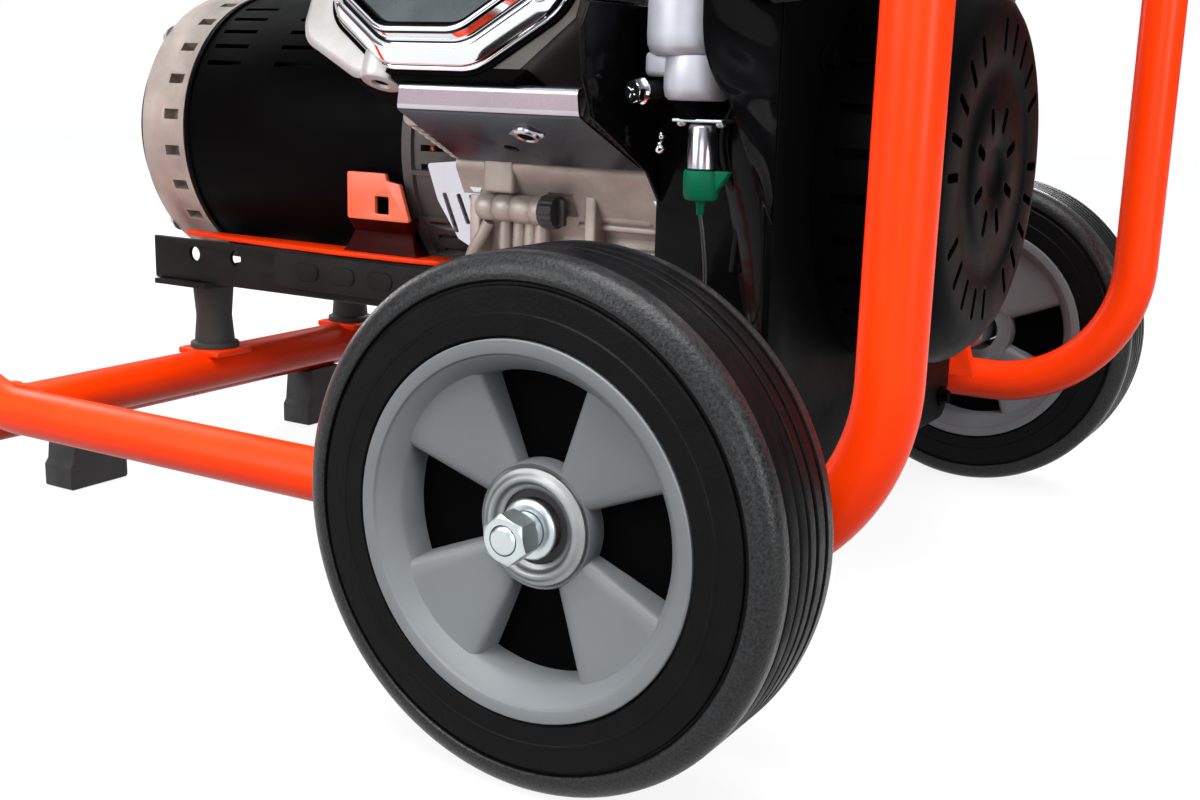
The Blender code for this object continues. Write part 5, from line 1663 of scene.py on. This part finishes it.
def switches_and_terminals():
    """Breaker, engine switch, terminals and the loom behind the box."""
    pivot = Vector((-10.0, -231.0, 379.0))
    frame_plate = prism("breaker_bezel", round_rect((-28, 8), (352, 406), 4, 6), 0, 4.6,
                        across_y(SOCKET_Y))
    slot = prism("breaker_slot", round_rect((-17, -3), (362, 396), 2, 4), 2.2, 9, across_y(SOCKET_Y))
    cut(frame_plate, slot)
    piece(rounded(frame_plate, 0.8, 2), SMOOTH_PLASTIC)
    tilt = turned(Matrix.Translation(pivot), 70, "X")
    lever = lathe("breaker_toggle", [(0, -3.6), (3.2, -3.6), (3.6, -3), (3.3, 6), (3.9, 10.5),
                                     (3.9, 12.2), (3.0, 12.9), (0, 12.9)], tilt, 32, ring=False)
    piece(lever, SMOOTH_PLASTIC, "breaker_lever", "breaker_lever")

    ring = lathe("switch_ring", [(16.6, 0), (20, 0), (20, 2.4), (19, 3.4), (17.4, 3.4), (16.6, 2.6)],
                 at(40, SOCKET_Y, 378, "-Y"), 56)
    piece(ring, ZINC)
    knob = lathe("switch_knob", [(0, 7.6), (13.4, 7.6), (15.2, 6.6), (15.8, 4.6), (15.9, 0.6), (0, 0.6)],
                 at(40, BOX_FRONT - 0.4, 378, "-Y"), 56, ring=False)
    fin = block("switch_fin", (37, 43), (BOX_FRONT - 18.2, BOX_FRONT - 7), (363.4, 392.6), 1.8)
    piece(group("engine_switch_knob", [knob, fin]), RED, "engine_switch", "engine_switch")

    studs = []
    for x in (-30, 0):
        studs.append(lathe("terminal", [(0, 15), (3.2, 15), (3.2, 12), (7.5, 11.5), (8, 4), (6, 2.6),
                                        (6, 0), (0, 0)], at(x, BOX_FRONT - 0.8, 285, "-Y"), 32, ring=False))
    piece(studs[0], RED)
    piece(studs[1], SMOOTH_PLASTIC)
    earth = bolt(at(36, SOCKET_Y, 276, "-Y"), 10, 5, washer=9)
    piece(group("earth_terminal", earth), BRASS, smooth=25)
    hose("box_loom", [(150, -152, 300), (150, -140, 296), (156, -122, 280), (168, -104, 262),
                      (176, -98, 250)], 6.0, RUBBER)


# ---------------------------------------------------------------- handles


def handle(label, side):
    low, high = span(label + "_handle")
    spot = centre(label + "_handle")
    pivot_z = high.z - 16.0
    radius = 11.0
    body = label + "_handle"
    axis = outward(side)
    bar = rod(label + "_handle_bar", at(spot.x, spot.y, low.z + 2), radius, pivot_z - low.z - 10, 1.0,
              48)
    fork = lathe(label + "_handle_eye", [(6.4, -11.8), (14.6, -11.8), (15.8, -10.6), (15.8, 10.6),
                                         (14.6, 11.8), (6.4, 11.8)],
                 at(spot.x, spot.y, pivot_z, axis), 56)
    piece(group(label + "_handle_arm", [bar, fork]), BLACK, body, label + "_handle")
    grip_low = span(label + "_handle_grip")[0]
    profile = [(0, 0.1), (12, 0.1), (15, 1.2), (15.7, 3.5), (15.7, 8)]
    count = 11
    pitch = (112.0 - 24) / count
    for i in range(count):
        z = 12 + i * pitch
        profile += [(14.4, z), (15.6, z + pitch * 0.3), (15.6, z + pitch * 0.7), (14.4, z + pitch * 0.98)]
    profile += [(15.6, 103), (15.7, 108), (15.0, 111.2), (13.2, 111.9), (11.3, 111.9), (11.3, 3),
                (0, 3)]
    grip = lathe(label + "_grip_sleeve", profile, at(spot.x, spot.y, grip_low.z), 56, ring=False)
    piece(grip, RUBBER, body, label + "_handle_grip", smooth=40)
    ring = lathe(label + "_pivot_clip", [(6.0, 0), (9.8, 0), (9.8, 1.2), (6.0, 1.2)],
                 at(spot.x, side * (abs(spot.y) + 12.2), pivot_z, axis), 36)
    piece(ring, ZINC)


def hidden_metal():
    """Inner pieces that keep their CAD shape get a finish with grain."""
    for node, mat in (("crankshaft", STEEL), ("flywheel", CAST), ("alternator_rotor", STEEL)):
        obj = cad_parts[node]
        obj.data.materials.clear()
        obj.data.materials.append(mat)


wheel("rear", 1)
wheel("front", -1)
tubes()
isolators()
cradle()
bracket()
pressed_skirt()
rocker_cover()
cylinder()
cylinder_head()
shroud_plate()
crankcase()
filler_cap()
plug_and_lead()
blower()
side_baffle()
end_panel()
shroud_embossing()
panel_fixings()
shroud_ear()
recoil()
rope_and_grip()
carburettor()
solenoid()
choke()
air_cleaner()
exhaust()
alternator()
tank()
tank_fixings()
fuel_cap()
fuel_valve()
control_box()
sockets_and_meter()
switches_and_terminals()
handle("rear", 1)
handle("front", -1)
hidden_metal()


# ---------------------------------------------------------------- camera, light and floor

CAMERA_AT = Vector((-513.3, 796.0, 297.8))
CAMERA_YAW, CAMERA_PITCH, CAMERA_ROLL = -149.151, 12.763, 1.582
FOCAL = 43.5


def camera():
    data = bpy.data.cameras.new("camera")
    data.lens = FOCAL
    data.sensor_width = 36.0
    data.clip_start = 0.01
    obj = bpy.data.objects.new("camera", data)
    scene.collection.objects.link(obj)
    heading = turned(Matrix.Translation(CAMERA_AT * MM), CAMERA_YAW)
    obj.matrix_world = turned(turned(heading, 90 - CAMERA_PITCH, "X"), CAMERA_ROLL)
    scene.camera = obj


def light(name, place, target, size, power):
    data = bpy.data.lights.new(name, "AREA")
    data.shape = "RECTANGLE"
    data.size, data.size_y = size
    data.energy = power
    obj = bpy.data.objects.new(name, data)
    scene.collection.objects.link(obj)
    way = Vector(target) - Vector(place)
    obj.matrix_world = Matrix.Translation(place) @ way.to_track_quat("-Z", "Y").to_matrix().to_4x4()


def studio():
    world = bpy.data.worlds.new("studio")
    scene.world = world
    world.use_nodes = True
    nodes, links = world.node_tree.nodes, world.node_tree.links
    backdrop = nodes["Background"]
    backdrop.inputs["Color"].default_value = (1, 1, 1, 1)
    backdrop.inputs["Strength"].default_value = 1.0
    fill = nodes.new("ShaderNodeBackground")
    height = nodes.new("ShaderNodeSeparateXYZ")
    links.new(nodes.new("ShaderNodeTexCoord").outputs["Generated"], height.inputs["Vector"])
    sky = ramp(nodes, links, height.outputs["Z"], (0.05, 0.052, 0.056), (0.5, 0.53, 0.56), 0.0, 0.7)
    links.new(sky, fill.inputs["Color"])
    choice = nodes.new("ShaderNodeMixShader")
    links.new(nodes.new("ShaderNodeLightPath").outputs["Is Camera Ray"], choice.inputs["Fac"])
    links.new(fill.outputs["Background"], choice.inputs[1])
    links.new(backdrop.outputs["Background"], choice.inputs[2])
    links.new(choice.outputs["Shader"], nodes["World Output"].inputs["Surface"])
    floor = prism("floor", circle(0, 0, 6000, 64), -6, -1.0)
    floor.data.materials.append(FLOOR)
    floor.visible_diffuse = False
    light("key", (1.1, 2.2, 1.1), (-0.1, 0.2, 0.2), (1.5, 1.5), 42)
    light("front", (-1.0, 2.4, 0.55), (-0.1, 0.1, 0.2), (1.0, 0.7), 10)
    light("side", (-2.3, 0.9, 0.9), (-0.2, 0.1, 0.25), (0.6, 1.6), 34)
    light("over", (-0.3, 0.8, 2.1), (-0.1, 0.1, 0), (1.5, 1.5), 66)
    light("back", (0.6, -2.2, 1.4), (0, 0, 0.25), (1.6, 1.2), 60)
    light("far side", (2.3, -0.5, 1.0), (0, 0, 0.25), (1.0, 1.4), 22)
    sun = bpy.data.lights.new("sky", "SUN")
    sun.energy = 1.25
    sun.angle = math.radians(120)
    scene.collection.objects.link(bpy.data.objects.new("sky", sun))
    scene.view_settings.view_transform = "Standard"


FLOOR = material("pale_floor", "rubber", (0.15, 0.15, 0.15), 0.6, colour_2=(0.14, 0.14, 0.14),
                 patch=2.0, grain=50.0, bump=0.0, specular=0.0)
floor_shader = FLOOR.node_tree.nodes["Principled BSDF"]
floor_shader.inputs["Emission Color"].default_value = (1, 1, 1, 1)
floor_shader.inputs["Emission Strength"].default_value = 0.86

camera()
studio()
